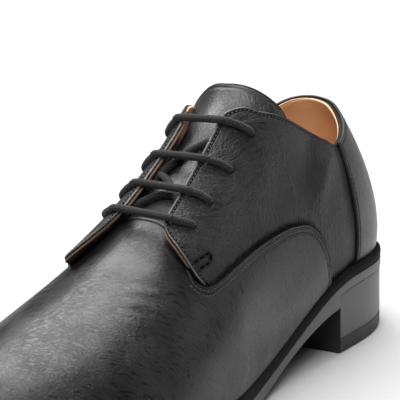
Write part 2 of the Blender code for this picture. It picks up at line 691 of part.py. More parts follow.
def tube(path, radius, sides):
    """Points and faces of a closed round tube along a path."""
    ways = np.gradient(path, axis=0)
    ways /= np.linalg.norm(ways, axis=1, keepdims=True)
    frame = np.cross(ways[0], [0.0, 0.0, 1.0])
    if np.linalg.norm(frame) < 0.1:
        frame = np.cross(ways[0], [1.0, 0.0, 0.0])
    angles = np.linspace(0, 2 * np.pi, sides, endpoint=False)
    rings = []
    for point, way in zip(path, ways):
        frame = frame - way * (frame @ way)
        frame /= np.linalg.norm(frame)
        other = np.cross(way, frame)
        rings.append(point + radius * (np.cos(angles)[:, None] * frame + np.sin(angles)[:, None] * other))
    count = len(path)
    faces = [tuple(range(sides)), tuple(range((count - 1) * sides, count * sides))[::-1]]
    for ring in range(count - 1):
        for k in range(sides):
            turn = (k + 1) % sides
            low, high = ring * sides, (ring + 1) * sides
            faces.append((low + k, high + k, high + turn, low + turn))
    return np.concatenate(rings), faces


def lace_over_flap(side, along, up, clear):
    """Centre of the lace where it lies over the flap."""
    along, up = np.array(along), np.array(up)
    return lifted(side, along, up, upper_level(along, up, 1.0) + LACE_RADIUS + clear)


def eyelet_leg(side, row, toward):
    """The lace's way through an eyelet, from under the flap to its face, leaning toward the next point."""
    centre, normal, _ = eyelet(side, row)
    way = toward - centre
    way -= normal * (way @ normal)
    way /= np.linalg.norm(way)
    over = LACE_RADIUS + LACE_CLEAR
    steps = (
        (LEG_LEAN, -WALL - LACE_RADIUS - 2 * GAP), (LEG_LEAN, -WALL / 2),
        (LEG_LEAN + 0.2 * over, 0.4 * over), (1.2 * over, over),
    )
    return [centre + way * forward + normal * height for forward, height in steps]


def bar_route(row):
    """One bar: out of the outer eyelet, straight over both flaps and into the inner eyelet."""
    over = {}
    for side in (1, -1):
        start, end = EYELET_ALONG[side][row], EYELET_ALONG[-side][row]
        places = [start + (end - start) * share for share in BAR_SHARES[side]]
        edge = flap_edge(side, places[1])
        middle = (EYELET_UP[side] + edge) / 2
        over[side] = [
            lace_over_flap(side, places[0], middle, LACE_CLEAR),
            lace_over_flap(side, places[1], edge, LACE_CLEAR + GAP),
        ]
    legs = {side: eyelet_leg(side, row, over[side][0]) for side in (1, -1)}
    return [*legs[1], *over[1], *over[-1][::-1], *legs[-1][::-1]]


def strand_route(start, end):
    """A slanting strand over the tongue from one eyelet, given as (side, row), to another."""
    drop = WALL + LACE_RADIUS + GAP
    legs = [eyelet(*spot) for spot in (start, end)]
    first, last = [centre - normal * drop + way * LEG_LEAN for centre, normal, way in legs]
    rises = [1 - EYELET_UP[spot[0]] for spot in (start, end)]
    along = [EYELET_ALONG[side][row] for side, row in (start, end)]
    route = [first]
    for share in (0.2, 0.35, 0.5, 0.65, 0.8):
        climb = share * sum(rises)
        side, down = (start[0], rises[0] - climb) if climb < rises[0] else (end[0], climb - rises[0])
        place = np.array(along[0] + (along[1] - along[0]) * share)
        route.append(lifted(side, place, np.array(1 - down), TONGUE_LEVEL + LACE_RADIUS + LACE_CLEAR))
    return [*route, last]


def make_lace(material, parent):
    """The lace: four bars and the three slanting strands that lead from bar to bar, joined."""
    rows = range(len(EYELET_ALONG[1]))
    bars = [tube(smooth_path(bar_route(row), 3 * MM), LACE_RADIUS, LACE_SIDES) for row in rows]
    strands = [((1, 0), (-1, 2)), ((1, 3), (-1, 1)), ((1, 2), (-1, 3))]
    slants = [tube(smooth_path(strand_route(*pair), 8 * MM), LACE_RADIUS, LACE_SIDES) for pair in strands]
    lace = make_object("lace", *bars[0], material, parent)
    for number, piece in enumerate([*bars[1:], *slants]):
        helper = make_object(f"lace_helper_{number}", *piece, material, parent)
        helper.hide_render = True
        helper.display_type = "WIRE"
        join = lace.modifiers.new(helper.name, "BOOLEAN")
        join.operation = "UNION"
        join.solver = "EXACT"
        join.object = helper
    return lace


def main():
    for old in list(bpy.data.objects):
        bpy.data.objects.remove(old)
    root = bpy.data.objects.new("shoe", None)
    bpy.context.scene.collection.objects.link(root)
    black, dark_sole, tan = (0.022, 0.022, 0.023), (0.050, 0.050, 0.052), (0.52, 0.27, 0.12)
    make_upper(make_material("upper_leather", black, 0.45), root)
    make_vamp(make_material("vamp_leather", black, 0.40), root)
    make_counter(make_material("counter_leather", black, 0.45), root)
    make_tongue(make_material("tongue_leather", black, 0.50), root)
    make_insole(make_material("insole_lining", tan, 0.75), root)
    make_welt(make_material("welt_matte", (0.008, 0.008, 0.008), 0.60), root)
    make_outsole(make_material("outsole_satin", dark_sole, 0.50), root)
    block, rubber = make_material("heel_satin", dark_sole, 0.50), make_material("heel_rubber", black, 0.70)
    make_heel(block, rubber, root)
    make_lace(make_material("lace_waxed", (0.010, 0.010, 0.010), 0.60), root)


main()
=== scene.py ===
"""Looks of the lace-up shoe: a left shoe in black grained leather with a tan lining.

Metres, +X to the toe, +Y to the outer side, +Z up. Every leather piece is a sheet on the same form as the
CAD solids. A place on the form has three numbers: side (outer +1, inner -1), along (share of the way from
the middle of the heel to the tip of the toe) and up (0 at the seat edge, 1 on the ridge of the instep).
"""

import bmesh
import bpy
import numpy as np
from mathutils import Matrix


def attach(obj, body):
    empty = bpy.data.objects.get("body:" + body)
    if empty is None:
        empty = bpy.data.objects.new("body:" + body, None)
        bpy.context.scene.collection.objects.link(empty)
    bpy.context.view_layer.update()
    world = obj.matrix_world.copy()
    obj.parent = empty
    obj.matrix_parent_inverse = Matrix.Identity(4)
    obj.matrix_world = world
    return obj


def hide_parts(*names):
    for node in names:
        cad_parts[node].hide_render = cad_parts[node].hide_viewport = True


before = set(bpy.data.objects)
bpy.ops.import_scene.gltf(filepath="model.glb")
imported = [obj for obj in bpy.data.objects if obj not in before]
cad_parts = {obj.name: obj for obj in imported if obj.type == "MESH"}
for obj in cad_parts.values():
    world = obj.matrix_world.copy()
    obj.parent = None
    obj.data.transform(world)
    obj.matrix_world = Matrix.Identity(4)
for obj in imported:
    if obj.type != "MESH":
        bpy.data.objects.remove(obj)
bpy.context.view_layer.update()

MM = 0.001

# Camera, as in the photograph: turned from the toe towards the outer side, raised, and slightly rolled
IMAGE_SIZE = 400
VIEW_TURN, VIEW_RAISE, VIEW_ROLL = np.radians([31.35, 16.07, -0.694])
VIEW_DISTANCE = 1463.2 * MM
VIEW_FOCUS_PIXELS = 3530.0
VIEW_TARGET = np.array([-28.33, 0.0, 78.78]) * MM
SENSOR = 36.0

# Floor and lights: place, target, size and power of each light
FLOOR_HALF = 6.0
FLOOR_BELOW = 0.2 * MM
FLOOR_TONE = 0.48
SURROUND = 0.06
LIGHTS = {
    "soft_box": ((-0.35, -0.50, 1.45), (0.0, 0.0, 0.05), (1.60, 1.40), 60.0),
    "fill": ((0.80, 0.55, 1.35), (-0.1, 0.0, 0.08), (0.9, 0.9), 22.0),
    "rim_light": ((-1.10, 0.45, 0.45), (-0.1, 0.0, 0.05), (0.8, 0.5), 1.3),
}

# Sizes of the last and of its pieces, as in the CAD
LAST_LENGTH = 295 * MM
BALL_WIDTH = 92 * MM
INSTEP_HEIGHT = 92.5 * MM
HEEL_SEAT = 31.7 * MM
GAP = 0.3 * MM
WALL = 2.4 * MM
OVERLAY = 1.0 * MM
WELT_HEIGHT = 3.9 * MM
WELT_OUT = 3.0 * MM
SOLE_OVER_HEEL = 4.3 * MM
INSOLE = 2.5 * MM
TONGUE = 2.2 * MM
TONGUE_LEVEL = 0.2 * MM
TONGUE_FLARE = 4.2 * MM
FLAP_LIFT = 7.0 * MM
WING_LEVEL = 1.2 * MM
QUARTER_SINK = 0.2 * MM
BREAST = -86.5 * MM
TOP_PIECE = 6.6 * MM
HEEL_OUT = 2.6 * MM
ARCH_START = -92 * MM
ARCH_HEIGHT = 20.6 * MM
TREAD_START = 0 * MM
TREAD_END = 70 * MM
TOE_SPRING = 9.8 * MM

# Places of edges and seams
EYELET_ALONG = {1: (0.3815, 0.4410, 0.4990, 0.5470), -1: (0.4095, 0.4690, 0.5230, 0.5620)}
EYELET_UP = {1: 0.735, -1: 0.775}
FLAP_EDGE_UP = {1: (0.897, 0.855), -1: (0.905, 0.905)}
FLAP_FRONT = {1: 0.580, -1: 0.574}
FLAP_FULL_UP = {1: 0.75, -1: 0.87}
FLAP_CORNER = {1: (0.352, 0.400), -1: (0.370, 0.420)}
FLAP_RISE = (0.20, 0.34)
FLAP_START_UP = 0.40
FLAP_LOW = 0.6  # below it the lace leaves no dents
RAKE_REACH = 0.12
SEAM_CLEAR_UP = 0.02
UNDER_EDGE = 0.02  # how far below an edge the length of the wall is taken
COUNTER_FRONT = 0.1755
COUNTER_FADE = 0.22
COUNTER_LOW = 0.015
QUARTER_RISE = (0.18, 0.24)
WING_START = (0.238, 0.250)
VAMP_FADE = (0.50, 0.60)
THROAT_START = (0.36, 0.42)  # where the collar ends and the throat begins
COLLAR_BACK = (0.0, 0.16)  # where the lining's edge changes from one side to the other round the heel
COLLAR_LIP_END = (0.24, 0.31)  # where the inner side's lining goes back behind the collar

SECTION_COLUMNS = (
    "foot", "outer", "inner", "seat", "spine", "ridge", "crown",
    "swell_outer", "swell_inner", "rise", "round_outer", "round_inner",
)
SECTIONS = (
    (0.027, 0.221, 0.221, 0.978, 0.102, 0.000, 1.243, 0.098, 0.098, 0.36, 0.28, 0.28),
    (0.093, 0.322, 0.322, 1.000, 0.120, 0.000, 1.276, 0.098, 0.098, 0.36, 0.33, 0.33),
    (0.175, 0.341, 0.333, 0.994, 0.178, 0.000, 1.351, 0.098, 0.087, 0.36, 0.46, 0.46),
    (0.219, 0.341, 0.324, 0.921, 0.219, 0.000, 1.389, 0.098, 0.082, 0.37, 0.51, 0.51),
    (0.266, 0.339, 0.309, 0.773, 0.263, 0.000, 1.395, 0.098, 0.082, 0.38, 0.55, 0.55),
    (0.341, 0.339, 0.284, 0.498, 0.331, 0.000, 1.319, 0.109, 0.098, 0.42, 0.56, 0.58),
    (0.422, 0.364, 0.279, 0.290, 0.405, 0.003, 1.157, 0.114, 0.120, 0.46, 0.54, 0.57),
    (0.510, 0.418, 0.321, 0.189, 0.485, 0.003, 1.000, 0.103, 0.130, 0.50, 0.54, 0.57),
    (0.602, 0.479, 0.402, 0.158, 0.564, -0.002, 0.867, 0.076, 0.114, 0.53, 0.56, 0.58),
    (0.690, 0.509, 0.479, 0.151, 0.653, -0.016, 0.750, 0.054, 0.082, 0.56, 0.60, 0.56),
    (0.771, 0.492, 0.505, 0.170, 0.731, -0.033, 0.666, 0.043, 0.060, 0.58, 0.64, 0.57),
    (0.853, 0.417, 0.475, 0.246, 0.808, -0.048, 0.595, 0.037, 0.048, 0.60, 0.66, 0.61),
    (0.914, 0.311, 0.404, 0.328, 0.863, -0.058, 0.554, 0.033, 0.039, 0.62, 0.66, 0.64),
    (0.966, 0.168, 0.279, 0.410, 0.893, -0.064, 0.530, 0.028, 0.033, 0.62, 0.64, 0.62),
)
END_COLUMNS = ("foot", "across", "seat", "spine", "ridge", "crown", "swell", "rise", "round")
HEEL_BACK = (0.000, 0.000, 0.965, 0.097, 0.000, 1.232, 0.098, 0.36, 0.27)
TOE_TIP = (1.000, -0.065, 0.473, 0.902, -0.065, 0.523, 0.026, 0.62, 0.62)
# Top edge of the collar on the outer and the inner side: along, up
COLLAR = {
    1: (
        (-0.020, 0.714), (0.000, 0.712), (0.020, 0.706), (0.040, 0.697), (0.060, 0.680), (0.080, 0.648),
        (0.100, 0.608), (0.120, 0.573), (0.140, 0.542), (0.160, 0.513), (0.180, 0.496), (0.210, 0.508),
        (0.260, 0.566), (0.310, 0.652), (0.345, 0.733), (0.368, 0.803),
    ),
    -1: (
        (-0.020, 0.706), (0.000, 0.712), (0.020, 0.714), (0.040, 0.709), (0.060, 0.700), (0.080, 0.685),
        (0.100, 0.664), (0.120, 0.632), (0.140, 0.588), (0.160, 0.532), (0.180, 0.498), (0.210, 0.504),
        (0.260, 0.560), (0.310, 0.647), (0.345, 0.730), (0.368, 0.801),
    ),
}
# Front edge of each flap: up, along
FLAP_FRONT_EDGE = {
    1: (
        (0.480, 0.5560), (0.518, 0.5640), (0.570, 0.5740), (0.608, 0.5800), (0.647, 0.5855), (0.690, 0.5895),
        (0.735, 0.5905), (0.790, 0.5880), (0.855, 0.5800),
    ),
    -1: (
        (0.500, 0.5980), (0.580, 0.6020), (0.650, 0.6140), (0.700, 0.6290), (0.750, 0.6420), (0.800, 0.6420),
        (0.850, 0.6240), (0.885, 0.5980), (0.905, 0.5740),
    ),
}
# Edge of the vamp's wings over the quarters, up to where it turns round the foot of the flap: along, up
WING = (
    (0.2490, 0.070), (0.2515, 0.095), (0.2560, 0.140), (0.2630, 0.186), (0.2735, 0.230), (0.2880, 0.275),
    (0.3045, 0.308), (0.3205, 0.328), (0.3445, 0.351), (0.3645, 0.369), (0.3855, 0.387), (0.4140, 0.412),
    (0.4360, 0.429), (0.4595, 0.444), (0.4835, 0.457), (0.4995, 0.466), (0.5190, 0.475), (0.5490, 0.484),
    (0.5800, 0.500),
)
WING_TURN = (
    (0.5190, 0.475), (0.5340, 0.483), (0.5475, 0.492), (0.5560, 0.500), (0.5630, 0.510), (0.5690, 0.524),
    (0.5740, 0.541), (0.5775, 0.557), (0.5795, 0.570), (0.5812, 0.590),
)
WING_BACK, WING_LOW = WING[0]
SEAM_END_ALONG, SEAM_END_UP = WING_TURN[-1]
# Edge of the vamp under the flap and across the throat: up, along
THROAT = ((0.590, 0.5812), (0.62, 0.5800), (0.68, 0.5740), (0.76, 0.5660), (0.86, 0.5640), (1.0, 0.5720))
# Loop of stitches at the foot of the outer flap: along, up
BAR_TACK = (
    (0.5767, 0.6317), (0.5608, 0.6200), (0.5442, 0.6067), (0.5372, 0.5985), (0.5338, 0.5860),
    (0.5345, 0.5735), (0.5392, 0.5690), (0.5533, 0.5800), (0.5675, 0.5915),
)
# Soft folds: along, and millimetres from the ridge (outer side above 0), where each starts
# and ends, then its depth (ridges below 0) and width, both in millimetres
QUARTER_FOLDS = (
    (0.243, 47.0, 0.308, 67.0, 1.00, 6.0),
    (0.197, 52.0, 0.283, 71.0, -1.30, 5.0),
    (0.188, 62.0, 0.196, 86.0, 0.45, 4.5),
    (0.330, 42.0, 0.385, 60.0, 0.35, 8.0),
    (0.420, 44.0, 0.400, 62.0, -0.30, 8.0),
    (0.243, -47.0, 0.303, -66.0, 0.80, 6.0),
    (0.197, -52.0, 0.278, -70.0, -0.80, 5.0),
    (0.340, -42.0, 0.390, -60.0, 0.35, 8.0),
)
VAMP_FOLDS = (
    (0.676, 15.0, 0.640, 34.0, 0.26, 1.7),
    (0.684, 20.0, 0.650, 42.0, 0.32, 1.9),
    (0.692, 29.0, 0.662, 48.0, 0.28, 1.9),
    (0.668, 22.0, 0.645, 38.0, -0.16, 1.6),
    (0.676, 30.0, 0.656, 44.0, -0.16, 1.6),
    (0.724, 1.0, 0.676, 22.0, 0.17, 1.6),
    (0.735, 1.0, 0.681, 27.0, 0.14, 1.6),
    (0.698, 4.0, 0.642, 29.0, 0.15, 1.6),
    (0.668, -4.0, 0.626, 24.0, 0.12, 1.8),
    (0.720, 19.0, 0.658, 45.0, 0.17, 1.8),
    (0.750, -4.0, 0.704, 20.0, 0.13, 1.7),
    (0.740, 16.0, 0.690, 40.0, 0.12, 1.7),
    (0.650, -42.0, 0.664, -26.0, 0.22, 1.7),
    (0.668, -40.0, 0.680, -24.0, 0.18, 1.7),
    (0.690, -36.0, 0.700, -18.0, 0.16, 1.8),
    (0.600, -22.0, 0.780, -22.0, 1.10, 15.0),
    (0.246, 94.0, 0.500, 91.0, -0.95, 9.0),
)
FOLD_GIRTH = 105 * MM  # one wall's length, to give the folds' places a length

# Sheets: distances from an edge at which they have rows, and the step between rows further in
EDGE_STEPS = np.array([
    0, 0.06, 0.16, 0.3, 0.48, 0.7, 0.95, 1.2, 1.45, 1.7, 1.95, 2.2, 2.5, 2.85, 3.2, 3.5, 3.8, 4.15, 4.6,
    5.3, 6.2, 7.5,
]) * MM
COARSE_EDGE_STEPS = np.array([0, 0.08, 0.2, 0.36, 0.6, 1.0, 1.6, 2.6, 4.2, 6.0, 7.5]) * MM
SHEET_STEP = 1.35 * MM
LINING_STEP = 2.2 * MM
MERGE, TINY = 0.003 * MM, 0.001 * MM  # points and edges closer or shorter than this are joined

# Leather and its folded edges
LEATHER = 1.3 * MM
LINING = 1.0 * MM
FOLD_ROUND = 0.85 * MM
THIN_ROUND = 0.55 * MM
FLAP_DEPTH = 70 * MM
FLAP_CORNER_ROUND = 5.0 * MM  # the flap's front corner
PAST_CORNER = 1.3  # how far out a sheet may start there, in radii
TUCK = 1.1 * MM  # how far the quarters go down under the vamp
TUCK_REACH = (-0.2 * MM, 1.6 * MM)
CHANNEL, CHANNEL_OFF, CHANNEL_WIDE = 0.55 * MM, 0.5 * MM, 0.95 * MM
COLLAR_RIM, COLLAR_RIM_REACH = 0.5 * MM, 2 * MM  # how much thicker the folded rim of the collar is
DENT, DENT_WIDE = 0.35 * MM, 2.6 * MM  # pressed in round the eyelets by the lace
DENT_WAVES, DENT_WAVE, DENT_WAVE_REACH, DENT_TURN = 7, 0.10 * MM, 6.5 * MM, 2.1
EYELET_RADIUS = 2.0 * MM
EYELET_SIDES = 24
LINING_HOLE = EYELET_RADIUS * 1.7
ROD_BELOW, ROD_ABOVE = 3 * WALL, 2 * WALL

# Lining: how far its edges stand out past the leather's, and where
NO_OUT = {1: 0.0, -1: 0.0}
LINING_OUT_FRONT = 0.65 * MM
LINING_OUT_THROAT = {1: -0.5 * MM, -1: 0.3 * MM}
LINING_OUT_COLLAR = {1: -0.6 * MM, -1: 2.0 * MM}
LINING_FOOT_IN = {1: 3.5 * MM, -1: 0.0}
LINING_FOOT_SHARE, LINING_FRONT_SHARE = (0.14, 0.24), (0.05, 0.20)
LINING_FOOT_REACH = 6 * MM
LINING_BEHIND = 0.05 * MM
LINING_ROUND, LINING_INNER_ROUND = 0.3 * MM, 0.4 * MM
FACING_ALONG, FACING_UP = 0.37, 0.45  # where the lining is the brown facing of the flaps
VAMP_LINING_ROWS, VAMP_LINING_COLUMNS = 46, 60
VAMP_LINING_CROWD = 1.3  # its columns are closer together near the throat
VAMP_LINING_AHEAD = 0.004
VAMP_LINING_EDGE = 12 * MM  # band of the vamp's lining under the throat in painted shade
VAMP_LINING_BACK = 0.045  # how far it goes back beside the tongue, under the foot of the flaps
VAMP_LINING_BACK_UP = (0.66, 0.73)
VAMP_LINING_DIP, VAMP_LINING_DIP_ALONG = 1.4 * MM, (-0.006, 0.012)

# Vamp: its grid, and in edge steps its edge painted near-black as shade
WING_FINE = 0.50  # in front of it the wing's columns are close, for the turn round the flap's foot
WING_TURN_COLUMNS = 60
WING_BACK_CLEAR, WING_BACK_STEPS = 0.012, 18
WING_SQUEEZE = 12 * MM  # a wing narrower than this has its edge steps closer together
VAMP_FOOT, VAMP_FOOT_UP = 1.2 * MM, 0.06
VAMP_LOW_ROWS, VAMP_HIGH_ROWS = 36, 46
# edge steps of the vamp's edge painted near-black as shade: along the wing, wider at its back, and where it
# narrows
SHADE_EDGE_STEPS, SHADE_BACK_STEPS = 4, 6
SHADE_BACK_ALONG = (0.27, 0.36)
STITCHED_UP = (-0.01, 0.02)  # the two rows end at the foot of the flap, from the seam's end
# painted highlight on the crest of the vamp's edge across the throat: strength, and shares up where it
# starts
THROAT_HIGHLIGHT, THROAT_HIGHLIGHT_UP = 0.7, (0.06, 0.12)
COUNTER_COLUMNS, COUNTER_ROWS = 40, 46

# Tongue
TONGUE_WIDE, TONGUE_LONG = 34 * MM, 80 * MM
TONGUE_COLUMNS, TONGUE_ROWS = 26, 56
TONGUE_TOP = 0.349
TONGUE_TOP_DROP, TONGUE_TOP_CURVE = {1: 0.056, -1: 0.022}, 1.4
TONGUE_FLARE_ALONG = (0.320, 0.380)
TONGUE_FLARE_SIDE, TONGUE_FLARE_DOWN = 0.6, (0.75, 1)
TONGUE_SIDE_UP = (0.610, 0.740)
TONGUE_RIPPLE, TONGUE_RIPPLES, TONGUE_RIPPLE_CURVE = 0.30 * MM, 95, 1.5
TONGUE_RIPPLE_ALONG = (0.385, 0.42)
TONGUE_BINDING = 1.0 * MM  # black edge all round
TONGUE_ROUND, TONGUE_BACK_ROUND = 0.9 * MM, 0.8 * MM
TONGUE_TURN, TONGUE_TURN_AT, TONGUE_TURN_WIDE = 0.22 * MM, 2.2 * MM, 0.45 * MM
TONGUE_TURN_SHADE, TONGUE_TURN_SHADE_WIDE = 0.5, 0.4 * MM
TONGUE_END = 0.584  # its thin end, under the vamp
TONGUE_END_THICK = 0.1 * MM
TONGUE_SKIVE = (0.545, 0.567)
# painted shadow on the tongue's end, under the vamp's edge: where it starts and is full
TONGUE_END_SHADOW = (0.530, 0.556)

# Thread
STITCH_PITCH = 2.0 * MM
STITCH_LENGTH = 1.55 * MM
STITCH_RADIUS = 0.25 * MM
STITCH_POINTS = 7
STITCH_DIP, STITCH_SUNK = 0.12 * MM, 0.10 * MM
TACK_THICKER, TACK_RAISED = 2.0, 0.15 * MM  # the loop that holds the flap's foot
STITCH_ROW = 1.7 * MM  # from the edge to the first row
WING_ROWS = (STITCH_ROW, STITCH_ROW + 1.9 * MM)
STITCH_GROOVE, GROOVE_WIDE = 0.30 * MM, 0.42 * MM
THROAT_ROW = 1.5 * MM  # from the vamp's edge to its crease across the throat
STITCH_LOW = 0.045
COUNTER_STITCH_UP = (STITCH_LOW, 0.44)
FLAP_STITCH_DEPTH, COLLAR_STITCH_CLEAR = 48 * MM, 2 * MM
WING_STITCH_CLEAR = 0.0005
WING_ROW_POINTS, COLLAR_ROW_POINTS, FLAP_ROW_POINTS = 500, 400, 160
COUNTER_ROW_POINTS, TACK_POINTS = 200, 120
QUARTER_LINE = (7, 10)  # first and last edge step of the painted shade line along the quarters' stitches

# Painted shade along seams, eyelets and tacks, and painted highlight on folded edges: strengths and widths
EDGE_SHADE, EDGE_SHADE_WIDE = 0.75, 0.5 * MM
ROW_SHADE, ROW_SHADE_WIDE = 0.8, 0.40 * MM
EYELET_SHADE_WIDE = 2.7 * MM
COUNTER_SHADE_WIDE = 1.1 * MM
TACK_SHADE_WIDE = 1.1 * MM
# painted highlight on folded edges: distance from the edge, width, where it starts along, lowest share up
HIGHLIGHT_AT, HIGHLIGHT_WIDE = 0.34 * MM, 0.17 * MM
HIGHLIGHT_ALONG, HIGHLIGHT_LOW = (0.30, 0.36), 0.5

# Lace
LACE_RADIUS = 1.62 * MM
LACE_SIDES, LACE_STEP = 20, 0.7 * MM
LACE_CLEAR = {1: 0.0, -1: -0.75 * MM}
LACE_UNDER = -WALL - LACE_RADIUS - GAP
LEG_STEPS = ((0.0, LACE_UNDER), (0.1 * MM, -0.9 * MM), (0.8 * MM, 0.5 * MM))  # ahead and above the eyelet
BAR_STEPS = (0.36, 0.62, 0.88)
BAR_SHARES = {1: (0.50, 0.92), -1: (0.02, 0.05)}
BAR_AHEAD = (0.0, 0.0, 0.0, 0.014)  # how far each bar lies ahead of its eyelets at the edges of the flaps
STRAND_SHARES = (0.2, 0.35, 0.5, 0.65, 0.8)

# Sole
WELT_STEP, SOLE_STEP, SOLE_BREAST_STEP = 1.4 * MM, 1.6 * MM, 0.6 * MM
WELT_WAIST = 2.3 * MM  # how much taller it stands at the waist: a painted shadow, the welt's black standing in for the shade between upper and welt there
WELT_WAIST_START, WELT_WAIST_END = (0.20, 0.36), (0.52, 0.70)
WELT_PROUD = 2.0 * MM  # how far it stands out from the leather's face
WELT_TURNS, WELT_LOW = 15, 0.05
WELT_INSET, WELT_BULGE, WELT_BULGE_CURVE, WELT_FLARE = 0.62, 0.41, 0.9, 0.20
SOLE_ACROSS, SOLE_TURNS = 13, 6
BREAST_CLEAR = 2.5  # rows nearer to the breast than this many of its steps give way
SNUG = 0.03 * MM  # between the layers of the heel
OUTSOLE_ROUNDS = (0.3 * MM, 0.9 * MM)
HEEL_ROUNDS = (0.3 * MM, 0.3 * MM)
TOP_PIECE_ROUNDS = (0.3 * MM, 1.6 * MM)
INSOLE_ROUNDS = (0.7 * MM, 0.2 * MM)
INSOLE_IN = WALL + OVERLAY + 3 * GAP


def closed_curve(knots, values, period):
    """A smooth closed curve through the values at the knots: a periodic cubic spline."""
    count = len(knots)
    steps = np.diff(np.append(knots, knots[0] + period))
    slopes = np.diff(np.append(values, values[0])) / steps
    row = np.arange(count)
    matrix = np.zeros((count, count))
    matrix[row, row] = 2 * (steps[row - 1] + steps)
    matrix[row, (row + 1) % count] += steps
    matrix[row, row - 1] += steps[row - 1]
    bends = np.linalg.solve(matrix, 6 * (slopes - slopes[row - 1]))

    def curve(place):
        """Value at a place: the cubic between the knots on either side."""
        place = np.mod(np.asarray(place, float), period)
        left = np.clip(np.searchsorted(knots, place, side="right") - 1, 0, count - 1)
        right = (left + 1) % count
        step = steps[left]
        after = place - knots[left]
        before = step - after
        return (
            (bends[left] * before**3 + bends[right] * after**3) / (6 * step)
            + (values[left] / step - bends[left] * step / 6) * before
            + (values[right] / step - bends[right] * step / 6) * after
        )

    return curve


def open_curve(rows):
    """A smooth curve through (place, value) rows, level past its ends: cubic pieces with central slopes."""
    x, y = np.array(rows).T
    slope = np.gradient(y, x)

    def curve(place):
        """Value at a place: the cubic between the rows on either side."""
        place = np.clip(place, x[0], x[-1])
        left = np.clip(np.searchsorted(x, place) - 1, 0, len(x) - 2)
        step = x[left + 1] - x[left]
        q = (place - x[left]) / step
        return (
            y[left] * (1 + 2 * q) * (1 - q) ** 2
            + slope[left] * step * q * (1 - q) ** 2
            + y[left + 1] * q * q * (3 - 2 * q)
            + slope[left + 1] * step * q * q * (q - 1)
        )

    return curve


def ease(start, end, value):
    """0 before start, 1 after end, and a smooth step between them."""
    q = np.clip((value - start) / (end - start), 0, 1)
    return q * q * (3 - 2 * q)


def bell(distance, width, at=0.0, power=2):
    """A bell-shaped curve: 1 at one distance, falling off over a width on both sides."""
    return np.exp(-(((distance - at) / width) ** power))


def by_side(side, values):
    """The outer or the inner side's value."""
    return np.where(np.asarray(side) > 0, values[1], values[-1])


def ring_of_walls():
    """The walls in order round the shoe, in metres: heel, outer side, toe, inner side, and their knots."""
    table = dict(zip(SECTION_COLUMNS, np.array(SECTIONS).T))
    slope = np.gradient(table["crown"] * INSTEP_HEIGHT, table["spine"] * LAST_LENGTH)
    ends = [dict(zip(END_COLUMNS, row)) for row in (HEEL_BACK, TOE_TIP)]
    ends[0]["slope"], ends[1]["slope"] = slope[0], slope[-1]
    columns = {}
    for name in ("foot", "seat", "spine", "ridge", "crown", "rise"):
        columns[name] = [ends[0][name], *table[name], ends[1][name], *table[name][::-1]]
    columns["slope"] = [ends[0]["slope"], *slope, ends[1]["slope"], *slope[::-1]]
    columns["across"] = [ends[0]["across"], *table["outer"], ends[1]["across"], *-table["inner"][::-1]]
    for name in ("swell", "round"):
        both = table[name + "_outer"], table[name + "_inner"][::-1]
        columns[name] = [ends[0][name], *both[0], ends[1][name], *both[1]]
    scales = {
        "foot": LAST_LENGTH, "spine": LAST_LENGTH, "across": BALL_WIDTH, "ridge": BALL_WIDTH,
        "swell": BALL_WIDTH, "seat": HEEL_SEAT, "crown": INSTEP_HEIGHT,
    }
    ring = {name: np.array(values) * scales.get(name, 1) for name, values in columns.items()}
    ring["foot"] -= LAST_LENGTH / 2
    ring["spine"] -= LAST_LENGTH / 2
    chords = np.hypot(
        np.diff(np.append(ring["foot"], ring["foot"][0])),
        np.diff(np.append(ring["across"], ring["across"][0])),
    )
    # Both sides share the mean chord, so that the outer and inner walls of a section meet on the ridge.
    chords = (chords + chords[::-1]) / 2
    knots = np.append(0, np.cumsum(chords)[:-1])
    period = chords.sum()
    return {name: closed_curve(knots, values, period) for name, values in ring.items()}, period / 2


WALLS, SIDE_LENGTH = ring_of_walls()
collar_up = {side: open_curve(rows) for side, rows in COLLAR.items()}
front_edge = {side: open_curve(rows) for side, rows in FLAP_FRONT_EDGE.items()}
wing_up = open_curve(WING)
seam_up = open_curve((*[row for row in WING if row[0] < WING_TURN[0][0]], *WING_TURN))
throat_along = open_curve(THROAT)


def form(side, along, up):
    """A point of the form: each wall is a cubic from the seat edge, out and up, then in to the ridge."""
    ring = np.where(np.asarray(side) > 0, along, 2 - np.asarray(along)) * SIDE_LENGTH
    wall = {name: curve(ring) for name, curve in WALLS.items()}
    run, lean = wall["foot"] - wall["spine"], wall["across"] - wall["ridge"]
    reach = np.hypot(run, lean)
    low, high = 3 * up * (1 - up) ** 2, 3 * up**2 * (1 - up)
    out = (1 - up) ** 3 + low * (1 + wall["swell"] / reach) + high * wall["round"]
    tilt = high * wall["slope"] * wall["round"] * run
    rise = (wall["crown"] - wall["seat"]) * (low * wall["rise"] + high + up**3)
    return np.stack(
        [wall["spine"] + run * out, wall["ridge"] + lean * out, wall["seat"] + rise + tilt], axis=-1
    )


def ways(side, along, up):
    """The form's two rates of change, along and up, from central differences."""
    step_along, step_up = 2e-4, 2e-3
    low = np.clip(up - step_up, 0, 1 - 3 * step_up)
    along_way = form(side, along + step_along, up) - form(side, along - step_along, up)
    up_way = form(side, along, low + 2 * step_up) - form(side, along, low)
    return along_way / (2 * step_along), up_way / (2 * step_up)


def wall_length(side, along, edge):
    """Length of wall for each share up, just below an edge."""
    return np.linalg.norm(ways(side, along, edge - UNDER_EDGE)[1], axis=-1)


